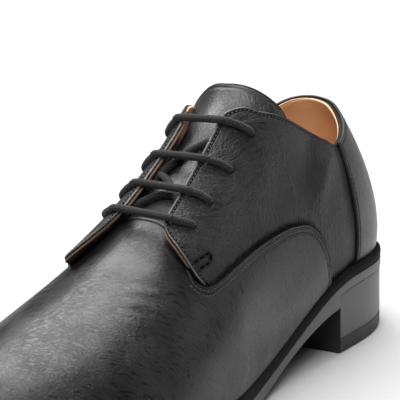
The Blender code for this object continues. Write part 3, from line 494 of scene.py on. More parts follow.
def outward(side, along, up):
    """Unit normal of the form: across its two rates of change; on the ridge, the mean of both walls'."""

    def wall_normal(wall):
        """One wall's unit normal: its two rates of change crossed."""
        along_way, up_way = ways(wall, along, up)
        normal = np.cross(up_way, along_way) * np.asarray(wall, float)[..., None]
        return normal / np.linalg.norm(normal, axis=-1, keepdims=True)

    normal = wall_normal(side)
    ridge = np.asarray(up) >= 1
    if np.any(ridge):
        normal = np.where(ridge[..., None], normal + wall_normal(-np.asarray(side)), normal)
        normal /= np.linalg.norm(normal, axis=-1, keepdims=True)
    return normal


def lifted(side, along, up, level):
    """A point at a level above the form, measured along its normal."""
    side, along, up, level = np.broadcast_arrays(side, along, up, level)
    return form(side, along, up) + outward(side, along, up) * level[..., None]


def seat_edge(side, along, out):
    """The seat edge moved out in plan, at its own height."""
    step = 1e-4
    place = form(side, along, 0 * along)
    way = form(side, along + step, 0 * along) - form(side, along - step, 0 * along)
    length = np.hypot(way[..., 0], way[..., 1])
    side = np.asarray(side, float)
    place[..., 0] -= side * way[..., 1] / length * out
    place[..., 1] += side * way[..., 0] / length * out
    return place


def flap_edge(side, along):
    """Share up the wall of the laced flap's edge along the throat."""
    ends = {s: (FLAP_CORNER[s][1], FLAP_FRONT[s]) for s in (1, -1)}
    return by_side(side, {s: np.interp(along, ends[s], FLAP_EDGE_UP[s]) for s in (1, -1)})


def edge_up(side, along):
    """Top edge of the upper: the collar, then the rounded corner and straight edge of the flap."""
    flap = flap_edge(side, along)
    corner = by_side(side, {s: ease(*FLAP_CORNER[s], along) for s in (1, -1)})
    collar = by_side(side, {s: collar_up[s](along) for s in (1, -1)})
    return np.minimum(collar * (1 - corner) + flap * corner, flap)


def front_shift(side, up):
    """How far the flap's front edge lies ahead of its top end."""
    return by_side(side, {s: front_edge[s](up) - FLAP_FRONT[s] for s in (1, -1)})


def seam_channel(along, up):
    """Share of the narrow channel in the quarters along the vamp's edge."""
    under = (seam_up(along) - up) * FOLD_GIRTH
    return under, bell(under, CHANNEL_WIDE, -CHANNEL_OFF)


def upper_level(side, along, up):
    """Level of the quarters' face: sunk under counter and vamp, and raised in the laced flaps.

    Along the vamp's edge the quarters dip into a narrow channel, then go under it.
    """
    sunk = -(GAP + OVERLAY) * (1 - ease(COUNTER_FRONT, COUNTER_FADE, along))
    under, channel = seam_channel(along, up)
    tuck = TUCK * ease(*TUCK_REACH, under) + CHANNEL * channel
    wings = -QUARTER_SINK * ease(*QUARTER_RISE, along) - tuck * ease(*WING_START, along)
    start = np.maximum(FLAP_START_UP, wing_up(along) + SEAM_CLEAR_UP)
    flap = FLAP_LIFT * ease(start, by_side(side, FLAP_FULL_UP), up) * ease(*FLAP_RISE, along)
    return sunk + wings + flap


def folds(table, side, along, up):
    """Level of the soft folds: along each segment a bell-shaped trough that fades out at both ends."""
    over = side * (1 - up) * FOLD_GIRTH
    level = np.zeros(np.broadcast(side, along, up).shape)
    for along_0, over_0, along_1, over_1, depth, width in table:
        x, y = (along - along_0) * SIDE_LENGTH, over - over_0 * MM
        run, rise = (along_1 - along_0) * SIDE_LENGTH, (over_1 - over_0) * MM
        length = np.hypot(run, rise)
        q = (x * run + y * rise) / length**2
        off = (x * rise - y * run) / length
        fade = np.clip(4 * q * (1 - q), 0, 1)
        level = level - depth * MM * fade * bell(off, width * MM)
    return level


def edge_drop(distance, radius):
    """How far a folded edge curves down: a quarter circle within its radius of the edge."""
    q = np.clip(1 - distance / radius, 0, 1)
    return radius * (1 - np.sqrt(1 - q * q))


def groove(distance, row):
    """A shallow groove that a row of stitches pulls into the leather."""
    return -STITCH_GROOVE * bell(distance, GROOVE_WIDE, row)


def flap_place(side, front, top):
    """Place on the form at distances from the flap's front edge and from the top edge, its corner rounded.

    In the corner the two distances are mapped from a square to a quarter disc. Gives along, up and the
    distance from the nearest edge.
    """
    x, y = 1 - front / FLAP_CORNER_ROUND, 1 - top / FLAP_CORNER_ROUND
    corner = (x > 0) & (y > 0)
    x, y = np.clip(x, 0, PAST_CORNER), np.clip(y, 0, PAST_CORNER)
    round_x, round_y = x * np.sqrt(1 - y * y / 2), y * np.sqrt(1 - x * x / 2)
    disc = FLAP_CORNER_ROUND * (1 - np.hypot(round_x, round_y))
    near = np.where(corner, disc, np.minimum(front, top))
    front = np.where(corner, FLAP_CORNER_ROUND * (1 - round_x), front)
    top = np.where(corner, FLAP_CORNER_ROUND * (1 - round_y), top)
    share = FLAP_FRONT[1] - front / SIDE_LENGTH
    pull = bell(share, RAKE_REACH, FLAP_FRONT[1])
    place = share + (by_side(side, FLAP_FRONT) - FLAP_FRONT[1]) * pull
    edge = edge_up(side, place)
    up = edge - top / wall_length(side, place, edge)
    return place + front_shift(side, up) * pull, up, near


def flap_sheet(edge_steps, step, front_out=0.0, throat_out=NO_OUT, collar_out=NO_OUT, foot_in=NO_OUT):
    """Sides, places and edge distances on a grid over both quarters, from one flap round the heel.

    Rows run down from the top edge, columns from the outer flap's front edge to the inner one's. The outs
    move the sheet's edges past the flaps' front edges, the throat and the collar; foot_in keeps the front
    edge back at the foot of each flap.
    """
    reach = FLAP_FRONT[1] * SIDE_LENGTH
    count = int(round((reach - edge_steps[-1]) / step))
    front = np.append(edge_steps, np.linspace(edge_steps[-1], reach, count + 1)[1:])
    front = np.append(front, front[-2::-1])
    side = np.where(np.arange(len(front)) < len(front) // 2 + 1, 1.0, -1.0)
    place = FLAP_FRONT[1] - front / SIDE_LENGTH
    throat = ease(*THROAT_START, place)
    middle = (collar_out[1] + collar_out[-1]) / 2
    lip = middle + (by_side(side, collar_out) - middle) * ease(*COLLAR_BACK, place)
    collar = 1 - np.where(side > 0, throat, ease(*COLLAR_LIP_END, place))
    out = by_side(side, throat_out) * throat + lip * collar
    along, up, near = flap_place(side, front - front_out, edge_steps[:, None] - out)
    near = np.minimum(near + np.minimum(out, front_out), np.minimum(edge_steps[:, None], front))
    rows = int(round(FLAP_DEPTH / step))
    share = np.linspace(0, 1, rows + 1)[1:, None]
    down_up = up[-1] * (1 - share)
    rake = (front_shift(side, down_up) - front_shift(side, up[-1])) * bell(front / SIDE_LENGTH, RAKE_REACH)
    foot = by_side(side, foot_in) * ease(*LINING_FOOT_SHARE, share)
    back_in = front_out * ease(*LINING_FRONT_SHARE, share) + foot
    down_along = along[-1] + rake - back_in * bell(front, LINING_FOOT_REACH) / SIDE_LENGTH
    down_near = np.minimum(front, edge_steps[-1] * 2) + 0 * share
    side = side + np.zeros((len(edge_steps) + rows, 1))
    pairs = (along, down_along), (up, down_up), (near, down_near)
    return side, *[np.concatenate(pair) for pair in pairs]


def sheet_quads(rows, columns):
    """Corner numbers of a grid's quads."""
    corner = (np.arange(rows - 1)[:, None] * columns + np.arange(columns - 1)).ravel()
    return np.stack([corner, corner + columns, corner + columns + 1, corner + 1], axis=1)


def plate(face, back, rim=None):
    """Points and quads of a closed plate between two grids, with a rim all round or along given points."""
    rows, columns = face.shape[:2]
    count = rows * columns
    if rim is None:
        number = np.arange(count).reshape(rows, columns)
        rim = np.concatenate([number[0, :-1], number[:-1, -1], number[-1, :0:-1], number[:0:-1, 0], [0]])
    quads = sheet_quads(rows, columns)
    walls = np.stack([rim[1:], rim[:-1], rim[:-1] + count, rim[1:] + count], axis=1)
    faces = np.concatenate([quads, quads[:, ::-1] + count, walls])
    return np.concatenate([face.reshape(-1, 3), back.reshape(-1, 3)]), faces


def both_faces(values):
    """A grid's values for the face and again for the back of its plate."""
    return np.tile(values.ravel(), 2)


def path_lengths(points):
    """Distance along a path at each of its points."""
    return np.append(0, np.cumsum(np.linalg.norm(np.diff(points, axis=0), axis=1)))


def edge_distance(points, path):
    """Distance of each point of a grid from a path, in blocks of whole arrays."""
    block_size = 2000
    flat = points.reshape(-1, 3)
    start, way = path[:-1], np.diff(path, axis=0)
    size = np.einsum("ij,ij->i", way, way)
    nearest = []
    for block in np.array_split(flat, max(1, len(flat) // block_size)):
        q = ((block @ way.T) - np.einsum("ij,ij->i", start, way)) / size
        spot = start + np.clip(q, 0, 1)[..., None] * way
        nearest.append(np.linalg.norm(block[:, None, :] - spot, axis=-1).min(axis=1))
    return np.concatenate(nearest).reshape(points.shape[:-1])


def put_piece(name, points, faces, materials, replaces=(), uv=None, kinds=None, seam=None, smooth=40):
    """A piece as a mesh object at the origin: doubles merged, normals turned outwards, riding on the shoe.

    kinds: material number of each face. seam: how far each point is darkened as painted shade, up to 1,
    or lightened as painted highlight on a folded edge, down to -1. smooth: edges sharper than this angle
    stay sharp.
    """
    mesh = bpy.data.meshes.new(name)
    mesh.from_pydata(points, [], faces)
    if uv is not None:
        corner = np.empty(len(mesh.loops), np.int32)
        mesh.loops.foreach_get("vertex_index", corner)
        mesh.uv_layers.new(name="skin").data.foreach_set("uv", uv[corner].astype(np.float32).ravel())
    if kinds is not None:
        mesh.polygons.foreach_set("material_index", kinds.astype(np.int32))
    if seam is not None:
        # the seam attribute: painted shade, up to 1, and painted highlight, down to -1
        shade = mesh.attributes.new("seam", "FLOAT", "POINT")
        shade.data.foreach_set("value", np.ravel(seam).astype(np.float32))
    tool = bmesh.new()
    tool.from_mesh(mesh)
    bmesh.ops.remove_doubles(tool, verts=tool.verts, dist=MERGE)
    bmesh.ops.dissolve_degenerate(tool, edges=tool.edges, dist=TINY)
    bmesh.ops.recalc_face_normals(tool, faces=tool.faces)
    tool.to_mesh(mesh)
    tool.free()
    for material in materials:
        mesh.materials.append(material)
    mesh.shade_smooth()
    mesh.set_sharp_from_angle(angle=np.radians(smooth))
    piece = bpy.data.objects.new(name, mesh)
    bpy.context.scene.collection.objects.link(piece)
    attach(piece, "root")
    if replaces:
        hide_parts(*replaces)
    return piece


def round_map(side, along, up):
    """Lengths round the heel and up the wall on both faces, for pieces that go round the heel."""
    skin = np.stack([along * SIDE_LENGTH * side, up * FOLD_GIRTH], axis=-1).reshape(-1, 2)
    return np.tile(skin, (2, 1))


def over_map(side, along, up):
    """Lengths along the shoe and out from the ridge on both faces, for pieces that go over the ridge."""
    pair = np.broadcast_arrays(along * SIDE_LENGTH, side * (1 - up) * FOLD_GIRTH)
    return np.tile(np.stack(pair, axis=-1).reshape(-1, 2), (2, 1))


def seam_shade(near, *rows, edge=EDGE_SHADE):
    """Painted shade of an edge and of its stitch rows: 1 on each row, and gone within a millimetre."""
    shade = edge * bell(near, EDGE_SHADE_WIDE)
    for row in rows:
        shade = np.maximum(shade, bell(near, ROW_SHADE_WIDE, row))
    return shade


def painted_edge_highlight(near):
    """Share of the painted highlight along the crest of a folded edge."""
    return bell(near, HIGHLIGHT_WIDE, HIGHLIGHT_AT)


# Materials


def new_material(name):
    """A material with its node tree and its shader."""
    material = bpy.data.materials.new(name)
    material.use_nodes = True
    tree = material.node_tree
    return material, tree, tree.nodes["Principled BSDF"]


def own_place(tree):
    """Coordinates in metres on the piece itself."""
    return node(tree, "ShaderNodeTexCoord").outputs["Object"]


def skin_and_painted_light(tree):
    """Lengths over the skin of the piece, and its painted shade and highlight from the seam attribute."""
    skin = node(tree, "ShaderNodeUVMap", uv_map="skin").outputs["UV"]
    return skin, node(tree, "ShaderNodeAttribute", attribute_name="seam").outputs["Fac"]


def fill(tree, made, inputs):
    """Sets a node's inputs; a socket given as value is linked."""
    for key, value in inputs.items():
        if isinstance(value, bpy.types.NodeSocket):
            tree.links.new(value, made.inputs[key])
        else:
            made.inputs[key].default_value = value


def node(tree, kind, inputs=None, **settings):
    """A node with its settings and inputs."""
    made = tree.nodes.new(kind)
    for key, value in settings.items():
        setattr(made, key, value)
    fill(tree, made, inputs or {})
    return made


def maths(tree, operation, *values):
    """A number worked out from one or two others."""
    return node(tree, "ShaderNodeMath", dict(enumerate(values)), operation=operation).outputs[0]


def vectors(tree, operation, first, second, output="Vector"):
    """A vector, or another output, worked out from two vectors."""
    made = node(tree, "ShaderNodeVectorMath", {0: first, 1: second}, operation=operation)
    return made.outputs[output]


def noise(tree, vector, scale, detail=3.0, roughness=0.55):
    """Height of a noise, from 0 to 1."""
    inputs = {"Vector": vector, "Scale": scale, "Detail": detail, "Roughness": roughness}
    return node(tree, "ShaderNodeTexNoise", inputs).outputs["Fac"]


def stretch(tree, vector, scale):
    """Coordinates stretched by a scale for each direction."""
    return node(tree, "ShaderNodeMapping", {"Vector": vector, "Scale": scale}).outputs["Vector"]


def mix_heights(tree, *weighted):
    """Sum of heights times their weights."""
    total = None
    for height, weight in weighted:
        part = maths(tree, "MULTIPLY", height, weight)
        total = part if total is None else maths(tree, "ADD", total, part)
    return total


def spread(tree, value, low, high, start=0.3, end=0.7, **settings):
    """A value carried from its usual range to another."""
    inputs = {"Value": value, "From Min": start, "From Max": end, "To Min": low, "To Max": high}
    return node(tree, "ShaderNodeMapRange", inputs, **settings).outputs["Result"]


def tint(tree, value, dark, light, start=0.3, end=0.7):
    """A colour between two."""
    ramp = node(tree, "ShaderNodeValToRGB", {"Fac": value})
    for element, place, colour in zip(ramp.color_ramp.elements, (start, end), (dark, light)):
        element.position, element.color = place, (*colour, 1)
    return ramp.outputs["Color"]


def blend(tree, share, first, second):
    """A colour or a number between two."""
    colour = isinstance(second, tuple)
    sockets, result = ((0, 6, 7), 2) if colour else ((0, 2, 3), 0)
    inputs = dict(zip(sockets, (share, first, second)))
    return node(tree, "ShaderNodeMix", inputs, data_type="RGBA" if colour else "FLOAT").outputs[result]


def bumps(tree, height, distance):
    """Normal of a surface with a height of its own."""
    inputs = {"Height": height, "Strength": 1.0, "Distance": distance}
    return node(tree, "ShaderNodeBump", inputs).outputs["Normal"]


def slanted(tree, skin, turn, across, along):
    """Coordinates turned by an angle, with many steps to the metre across the wrinkles, few along them."""
    cosine, sine = np.cos(turn), np.sin(turn)
    rows = {"X": (cosine * across, sine * across, 0.0), "Y": (-sine * along, cosine * along, 0.0)}
    pair = {axis: vectors(tree, "DOT_PRODUCT", skin, way, "Value") for axis, way in rows.items()}
    return node(tree, "ShaderNodeCombineXYZ", pair).outputs[0]


def black_leather(
    name, rough, relief, wrinkles, upper_wrinkles=None, shine=0.22, swell=0.8, dented=0.55, light=0.021
):
    """Grained black leather: pebbled cells, pores and fine wrinkles that run with the piece.

    wrinkles: their turn, steps to the metre across and along them. upper_wrinkles take over towards the
    top of the wall. swell and dented: height of the skin between the wrinkles and depth of the wrinkles.
    light: tone of the raised grain, partly the leather's own and partly a painted highlight on its ridges.
    """
    material, tree, shader = new_material(name)
    place = own_place(tree)
    skin, seam = skin_and_painted_light(tree)
    wander = {"Vector": place, "Scale": 70.0, "Detail": 1.0}
    drift = node(tree, "ShaderNodeTexNoise", wander).outputs["Color"]
    bent = vectors(tree, "ADD", skin, vectors(tree, "MULTIPLY", drift, (0.008, 0.008, 0.0)))

    def wrinkled(turn, across, along):
        """Height of the wrinkles: a noise stretched along them."""
        return noise(tree, slanted(tree, bent, turn, across, along), scale=1.0, detail=3.0, roughness=0.6)

    lines = wrinkled(*wrinkles)
    if upper_wrinkles:
        height = node(tree, "ShaderNodeSeparateXYZ", {0: bent}).outputs["Y"]
        share = spread(tree, height, 0.0, 1.0, start=0.46 * FOLD_GIRTH, end=0.68 * FOLD_GIRTH)
        lines = blend(tree, share, lines, wrinkled(*upper_wrinkles))
    pebbles = {"Vector": place, "Scale": 1050.0, "Randomness": 1.0}
    cells = node(tree, "ShaderNodeTexVoronoi", pebbles, feature="SMOOTH_F1").outputs["Distance"]
    pores = noise(tree, place, scale=2300.0, detail=2.0)
    soft = noise(tree, place, scale=45.0, detail=2.0)
    off = maths(tree, "ABSOLUTE", maths(tree, "SUBTRACT", lines, 0.5))
    crease = spread(tree, off, 1.0, 0.0, start=0.0, end=0.08, interpolation_type="SMOOTHSTEP")
    dent = maths(tree, "MULTIPLY", crease, spread(tree, soft, 0.25, 1.0, start=0.35, end=0.65))
    height = mix_heights(tree, (lines, swell), (dent, -dented), (cells, -0.50), (pores, 0.25))
    # grain tone, lighter on the raised wrinkles: the leather's own grain, partly painted highlight on its
    # ridges
    shade = mix_heights(tree, (soft, 0.35), (lines, 0.65))
    colour = tint(tree, shade, (0.0050, 0.0049, 0.0050), (light, light, 0.98 * light))
    # painted shade: darker where the seam attribute is above 0, at seams, edges, eyelets and tacks
    colour = blend(tree, seam, colour, (0.0015, 0.0015, 0.0015, 1.0))
    # painted highlight: light grey where the seam attribute is below 0, on the crest of folded edges
    painted_highlight = maths(tree, "MULTIPLY", seam, -1.0)
    fill(tree, shader, {
        "Base Color": blend(tree, painted_highlight, colour, (0.17, 0.167, 0.162, 1.0)),
        "Roughness": blend(tree, seam, spread(tree, shade, rough - 0.05, rough + 0.07), 0.75),
        "Normal": bumps(tree, height, relief),
        "Specular IOR Level": shine,
        "Coat Weight": 0.05,
        "Coat Roughness": 0.3,
    })
    return material


def tan_leather(name, dark, light, nap):
    """Tan lining leather with a short nap: soft blotches, fibres and no shine."""
    material, tree, shader = new_material(name)
    place = own_place(tree)
    blotch = noise(tree, place, scale=70.0, detail=4.0)
    fibre = noise(tree, place, scale=2200.0, detail=3.0, roughness=0.7)
    fill(tree, shader, {
        "Base Color": tint(tree, mix_heights(tree, (blotch, 0.65), (fibre, 0.35)), dark, light),
        "Normal": bumps(tree, fibre, nap),
        "Roughness": 0.85,
        "Specular IOR Level": 0.25,
        "Sheen Weight": 0.25,
        "Sheen Roughness": 0.5,
    })
    return material


def sole_finish(name, dark, light, rough, relief, streak, shine=0.5):
    """Painted or moulded sole edge: faint streaks along the edge and fine pits."""
    material, tree, shader = new_material(name)
    place = own_place(tree)
    lines = noise(tree, stretch(tree, place, (35.0, 35.0, streak)), scale=1.0, detail=3.0)
    pits = noise(tree, place, scale=1500.0, detail=2.0)
    soft = noise(tree, place, scale=55.0, detail=3.0)
    shade = mix_heights(tree, (soft, 0.5), (lines, 0.5))
    fill(tree, shader, {
        "Base Color": tint(tree, shade, dark, light),
        "Roughness": spread(tree, shade, rough - 0.06, rough + 0.08),
        "Normal": bumps(tree, mix_heights(tree, (lines, 0.6), (pits, 0.4)), relief),
        "Specular IOR Level": shine,
    })
    return material


def waxed_cord(name, strands=900.0, strands_round=4.0):
    """Waxed cotton cord: two sets of strands, counted by the metre, cross round it; dull sheen."""
    material, tree, shader = new_material(name)
    place = own_place(tree)
    skin, seam = skin_and_painted_light(tree)
    sets = []
    for turn in (1.0, -1.0):
        slant = stretch(tree, skin, (2 * np.pi * strands, turn * 2 * np.pi * strands_round, 1.0))
        parts = node(tree, "ShaderNodeSeparateXYZ", {0: slant}).outputs
        sets.append(maths(tree, "SINE", maths(tree, "ADD", parts["X"], parts["Y"])))
    weave = maths(tree, "MAXIMUM", *sets)
    fuzz = noise(tree, place, scale=2400.0, detail=3.0)
    cotton = tint(tree, fuzz, (0.003, 0.003, 0.0031), (0.017, 0.017, 0.017))
    fill(tree, shader, {
        # painted shade: darker where the cord dips into the eyelets
        "Base Color": blend(tree, seam, cotton, (0.001, 0.001, 0.001, 1.0)),
        "Roughness": spread(tree, fuzz, 0.62, 0.80),
        "Normal": bumps(tree, mix_heights(tree, (weave, 0.45), (fuzz, 0.7)), 0.40 * MM),
        "Specular IOR Level": 0.3,
        "Sheen Weight": 0.09,
    })
    return material


def thread_finish(name, dark, light, rough, shine):
    """Black thread, or near-black painted shade lines and binding: a tight twist with more or less shine."""
    material, tree, shader = new_material(name)
    place = own_place(tree)
    twist = noise(tree, place, scale=3500.0, detail=2.0)
    fill(tree, shader, {
        "Base Color": tint(tree, twist, (dark,) * 3, (light,) * 3),
        "Normal": bumps(tree, twist, 0.04 * MM),
        "Roughness": rough,
        "Specular IOR Level": shine,
    })
    return material


DOWN_THE_WALL, SLANTED_DOWN, OVER_THE_VAMP = np.radians([0.0, -58.0, 34.0])
quarter_leather = black_leather(
    "quarter_leather", 0.38, 0.55 * MM, (DOWN_THE_WALL, 430.0, 70.0), (SLANTED_DOWN, 480.0, 80.0),
    shine=0.20, light=0.030,
)
vamp_leather = black_leather(
    "vamp_leather", 0.29, 0.08 * MM, (OVER_THE_VAMP, 900.0, 150.0), shine=0.25, swell=0.20, dented=0.95
)
counter_leather = black_leather(
    "counter_leather", 0.34, 0.20 * MM, (DOWN_THE_WALL, 420.0, 110.0), shine=0.45
)
tongue_leather = black_leather(
    "tongue_leather", 0.40, 0.20 * MM, (OVER_THE_VAMP, 420.0, 300.0), shine=0.60
)
lining_leather = tan_leather("lining_leather", (0.70, 0.385, 0.18), (0.90, 0.60, 0.35), 0.16 * MM)
facing_leather = tan_leather("facing_leather", (0.085, 0.039, 0.019), (0.21, 0.104, 0.053), 0.16 * MM)
# the lining's tan darkened as painted shade, for the facing's inner side and the vamp lining under the
# throat
shaded_leather = tan_leather("shaded_leather", (0.012, 0.008, 0.006), (0.030, 0.018, 0.012), 0.10 * MM)
insole_leather = tan_leather("insole_leather", (0.38, 0.19, 0.085), (0.56, 0.31, 0.15), 0.08 * MM)
welt_black = sole_finish("welt_black", (0.0015,) * 3, (0.003,) * 3, 0.72, 0.06 * MM, 600.0, shine=0.12)
sole_grey = sole_finish("sole_grey", (0.045, 0.045, 0.046), (0.075, 0.074, 0.073), 0.42, 0.04 * MM, 900.0)
heel_grey = sole_finish("heel_grey", (0.042, 0.042, 0.043), (0.070, 0.069, 0.068), 0.40, 0.04 * MM, 900.0)
# black rubber of the top piece, also painted on the heel block's breast as shade
top_piece_and_shade_black = sole_finish("top_piece_and_shade_black", (0.006,) * 3, (0.012,) * 3, 0.55, 0.08 * MM, 300.0)
lace_cord = waxed_cord("lace_cord")
thread_black = thread_finish("thread_black", 0.016, 0.040, 0.38, 0.6)
tack_black = thread_finish("tack_black", 0.0008, 0.002, 0.90, 0.03)
# near-black painted shade lines at the vamp's edge and along the quarters' stitches, and the tongue's
# binding
shade_and_binding_black = thread_finish("shade_and_binding_black", 0.001, 0.003, 0.80, 0.05)


# Leather pieces


def quarter_skin(side, along, up):
    """Level of the quarters' face with their folds."""
    return upper_level(side, along, up) + folds(QUARTER_FOLDS, side, along, up)


def eyelet(side, row):
    """Centre of an eyelet on the flap's face, its normal, and the way over the flap to the throat."""
    step_up, step_along = 0.02, 0.005
    along, up = np.array(EYELET_ALONG[side][row]), np.array(EYELET_UP[side])
    face = lifted(side, along, up, upper_level(side, along, up))
    near = lifted(side, along, up + step_up, upper_level(side, along, up + step_up))
    ahead = lifted(side, along + step_along, up, upper_level(side, along + step_along, up))
    way = (near - face) / np.linalg.norm(near - face)
    normal = np.cross(way, ahead - face) * side
    return face, normal / np.linalg.norm(normal), way


EYELETS = {(side, row): eyelet(side, row) for side in (1, -1) for row in range(len(EYELET_ALONG[1]))}


def pressed_at_eyelets(points):
    """Level of the dents that the lace presses round the eyelets: a bell with faint wrinkles round it."""
    level = np.zeros(points.shape[:-1])
    for (_, row), (centre, normal, way) in EYELETS.items():
        off = points - centre
        x, y = off @ way, off @ np.cross(normal, way)
        far = np.hypot(x, y)
        dent = bell(far, DENT_WIDE)
        wide = bell(far, DENT_WAVE_REACH) * (1 - dent)
        waves = np.cos(DENT_WAVES * np.arctan2(y, x) + DENT_TURN * row)
        level += -DENT * dent - DENT_WAVE * wide * waves
    return level


def eyelet_shade(points):
    """Painted shade round the eyelets, where the leather is pressed in and the lace goes into the holes."""
    far = [np.linalg.norm(points - centre, axis=-1) for centre, _, _ in EYELETS.values()]
    return bell(np.min(far, axis=0), EYELET_SHADE_WIDE, power=4)


def punch_eyelets(piece, radius):
    """Cuts the eyelets through a piece with eight round rods, and keeps the cut mesh."""
    turns = np.linspace(0, 2 * np.pi, EYELET_SIDES, endpoint=False)
    rings, faces = [], []
    for number, (centre, normal, way) in enumerate(EYELETS.values()):
        across = np.cross(normal, way)
        circle = radius * (np.cos(turns)[:, None] * way + np.sin(turns)[:, None] * across)
        rings.extend([centre - ROD_BELOW * normal + circle, centre + ROD_ABOVE * normal + circle])
        low = 2 * EYELET_SIDES * number + np.arange(EYELET_SIDES)
        after = np.roll(low, -1)
        faces.extend(np.stack([low, after, after + EYELET_SIDES, low + EYELET_SIDES], axis=1).tolist())
        faces.extend([low[::-1].tolist(), (low + EYELET_SIDES).tolist()])
    mesh = bpy.data.meshes.new("eyelet_rods")
    mesh.from_pydata(np.concatenate(rings), [], faces)
    rods = bpy.data.objects.new("eyelet_rods", mesh)
    bpy.context.scene.collection.objects.link(rods)
    cut = piece.modifiers.new("eyelets", "BOOLEAN")
    cut.operation, cut.solver, cut.object = "DIFFERENCE", "EXACT", rods
    graph = bpy.context.evaluated_depsgraph_get()
    done = bpy.data.meshes.new_from_object(piece.evaluated_get(graph))
    piece.modifiers.clear()
    piece.data = done
    bpy.data.objects.remove(rods)


def quarter_shade(along, up, near, skin):
    """Painted shade of the quarters at stitch row, channel, counter seam, eyelets and tacks, less the
    painted highlight on their folded edges.
    """
    channel = seam_channel(along, up)[1] * ease(*WING_START, along)
    counter = bell(np.clip(along - COUNTER_FRONT, 0, 1) * SIDE_LENGTH, COUNTER_SHADE_WIDE)
    row = seam_shade(near, STITCH_ROW, edge=0.0) * ROW_SHADE
    tacks = [bell(edge_distance(skin, bar_tack(s)[0]), TACK_SHADE_WIDE) for s in (1, -1)]
    shade = np.max([row, channel, counter, eyelet_shade(skin), *tacks], axis=0)
    return shade - painted_edge_highlight(near) * ease(*HIGHLIGHT_ALONG, along) * (up > HIGHLIGHT_LOW)


def quarter_line(rows, columns, count):
    """Marks the faces of the painted shade line along the quarters' stitches, by their edge steps."""
    column = np.minimum(np.arange(columns - 1), np.arange(columns - 1)[::-1])
    ring = np.minimum(np.arange(rows - 1)[:, None], column).ravel()
    line = np.zeros(count, bool)
    line[:len(ring)] = (ring >= QUARTER_LINE[0]) & (ring <= QUARTER_LINE[1])
    return line


def make_quarters():
    """Both quarters with their laced flaps in one sheet, folded at collar, throat and front edges."""
    side, along, up, near = flap_sheet(EDGE_STEPS, SHEET_STEP)
    level = quarter_skin(side, along, up)
    level += pressed_at_eyelets(lifted(side, along, up, level)) * (up > FLAP_LOW)
    face = lifted(side, along, up, level - edge_drop(near, FOLD_ROUND) + groove(near, STITCH_ROW))
    rim = COLLAR_RIM * bell(near, COLLAR_RIM_REACH) * (1 - ease(*THROAT_START, along))
    back = lifted(side, along, up, level - LEATHER - rim + edge_drop(near, FOLD_ROUND / 2))
    points, faces = plate(face, back)
    shade = quarter_shade(along, up, near, lifted(side, along, up, level))
    piece = put_piece(
        "quarters", points, faces, [quarter_leather, shade_and_binding_black], ("upper",),
        uv=round_map(side, along, up), kinds=quarter_line(*along.shape, len(faces)), seam=both_faces(shade),
    )
    punch_eyelets(piece, EYELET_RADIUS)


def make_quarter_lining():
    """The lining of the quarters, brown behind the flaps, where it stands out at their edges."""
    side, along, up, near = flap_sheet(
        COARSE_EDGE_STEPS, LINING_STEP, LINING_OUT_FRONT, LINING_OUT_THROAT, LINING_OUT_COLLAR,
        LINING_FOOT_IN,
    )
    level = upper_level(side, along, up) - LEATHER - LINING_BEHIND
    outer = lifted(side, along, up, level - edge_drop(near, LINING_ROUND))
    inner = lifted(side, along, up, level - LINING + edge_drop(near, LINING_INNER_ROUND))
    points, faces = plate(outer, inner)
    facing = both_faces((along > FACING_ALONG) & (up > FACING_UP))
    inside = np.arange(len(points)) >= along.size
    # the facing's inner side takes shaded_leather, as painted shade
    kinds = facing[faces].all(axis=1) * (1 + inside[faces].all(axis=1))
    piece = put_piece(
        "quarter_lining", points, faces, [lining_leather, facing_leather, shaded_leather],
        uv=round_map(side, along, up), kinds=kinds,
    )
    punch_eyelets(piece, LINING_HOLE)


def make_vamp_lining():
    """The lining of the vamp, from beside the tongue to the toe, in painted shade under the throat."""
    across = np.linspace(-1, 1, 2 * VAMP_LINING_ROWS + 1)[:, None]
    side = np.where(across > 0, -1.0, 1.0)
    up = 1 - np.abs(across)
    throat = throat_along(np.maximum(up, SEAM_END_UP)) + VAMP_LINING_AHEAD
    start = throat - VAMP_LINING_BACK * (1 - ease(*VAMP_LINING_BACK_UP, up))
    along = start + (1 - start) * np.linspace(0, 1, VAMP_LINING_COLUMNS) ** VAMP_LINING_CROWD
    side, up = np.broadcast_arrays(side, up, along)[:2]
    dip_start, dip_end = (throat + place for place in VAMP_LINING_DIP_ALONG)
    level = -OVERLAY - GAP - VAMP_LINING_DIP * (1 - ease(dip_start, dip_end, along))
    number = np.arange(along.size).reshape(along.shape)
    rim = np.concatenate([number[0, ::-1], number[1:, 0], number[-1, 1:]])
    points, faces = plate(lifted(side, along, up, level), lifted(side, along, up, level - LINING), rim)
    edge = both_faces(along - throat < VAMP_LINING_EDGE / SIDE_LENGTH)
    put_piece(
        "vamp_lining", points, faces, [lining_leather, shaded_leather],
        uv=over_map(side, along, up), kinds=edge[faces].all(axis=1),
    )


def vamp_skin(side, along, up):
    """Level of the vamp's face: flush with the form in front, raised in the wings, with its folds."""
    return WING_LEVEL * (1 - ease(*VAMP_FADE, along)) + folds(VAMP_FOLDS, side, along, up)


def vamp_edge():
    """Places along the vamp's edge: up the wing's back, along it, round the flap's foot, to the ridge."""
    back_points, wing_points, throat_points = 40, 700, 175
    wing = np.linspace(WING_BACK, SEAM_END_ALONG, wing_points)
    throat = np.linspace(SEAM_END_UP, 1, throat_points)[1:]
    back = np.linspace(0, WING_LOW, back_points)[:-1]
    along = np.concatenate([np.full(len(back), WING_BACK), wing, throat_along(throat)])
    return along, np.concatenate([back, seam_up(wing), throat])


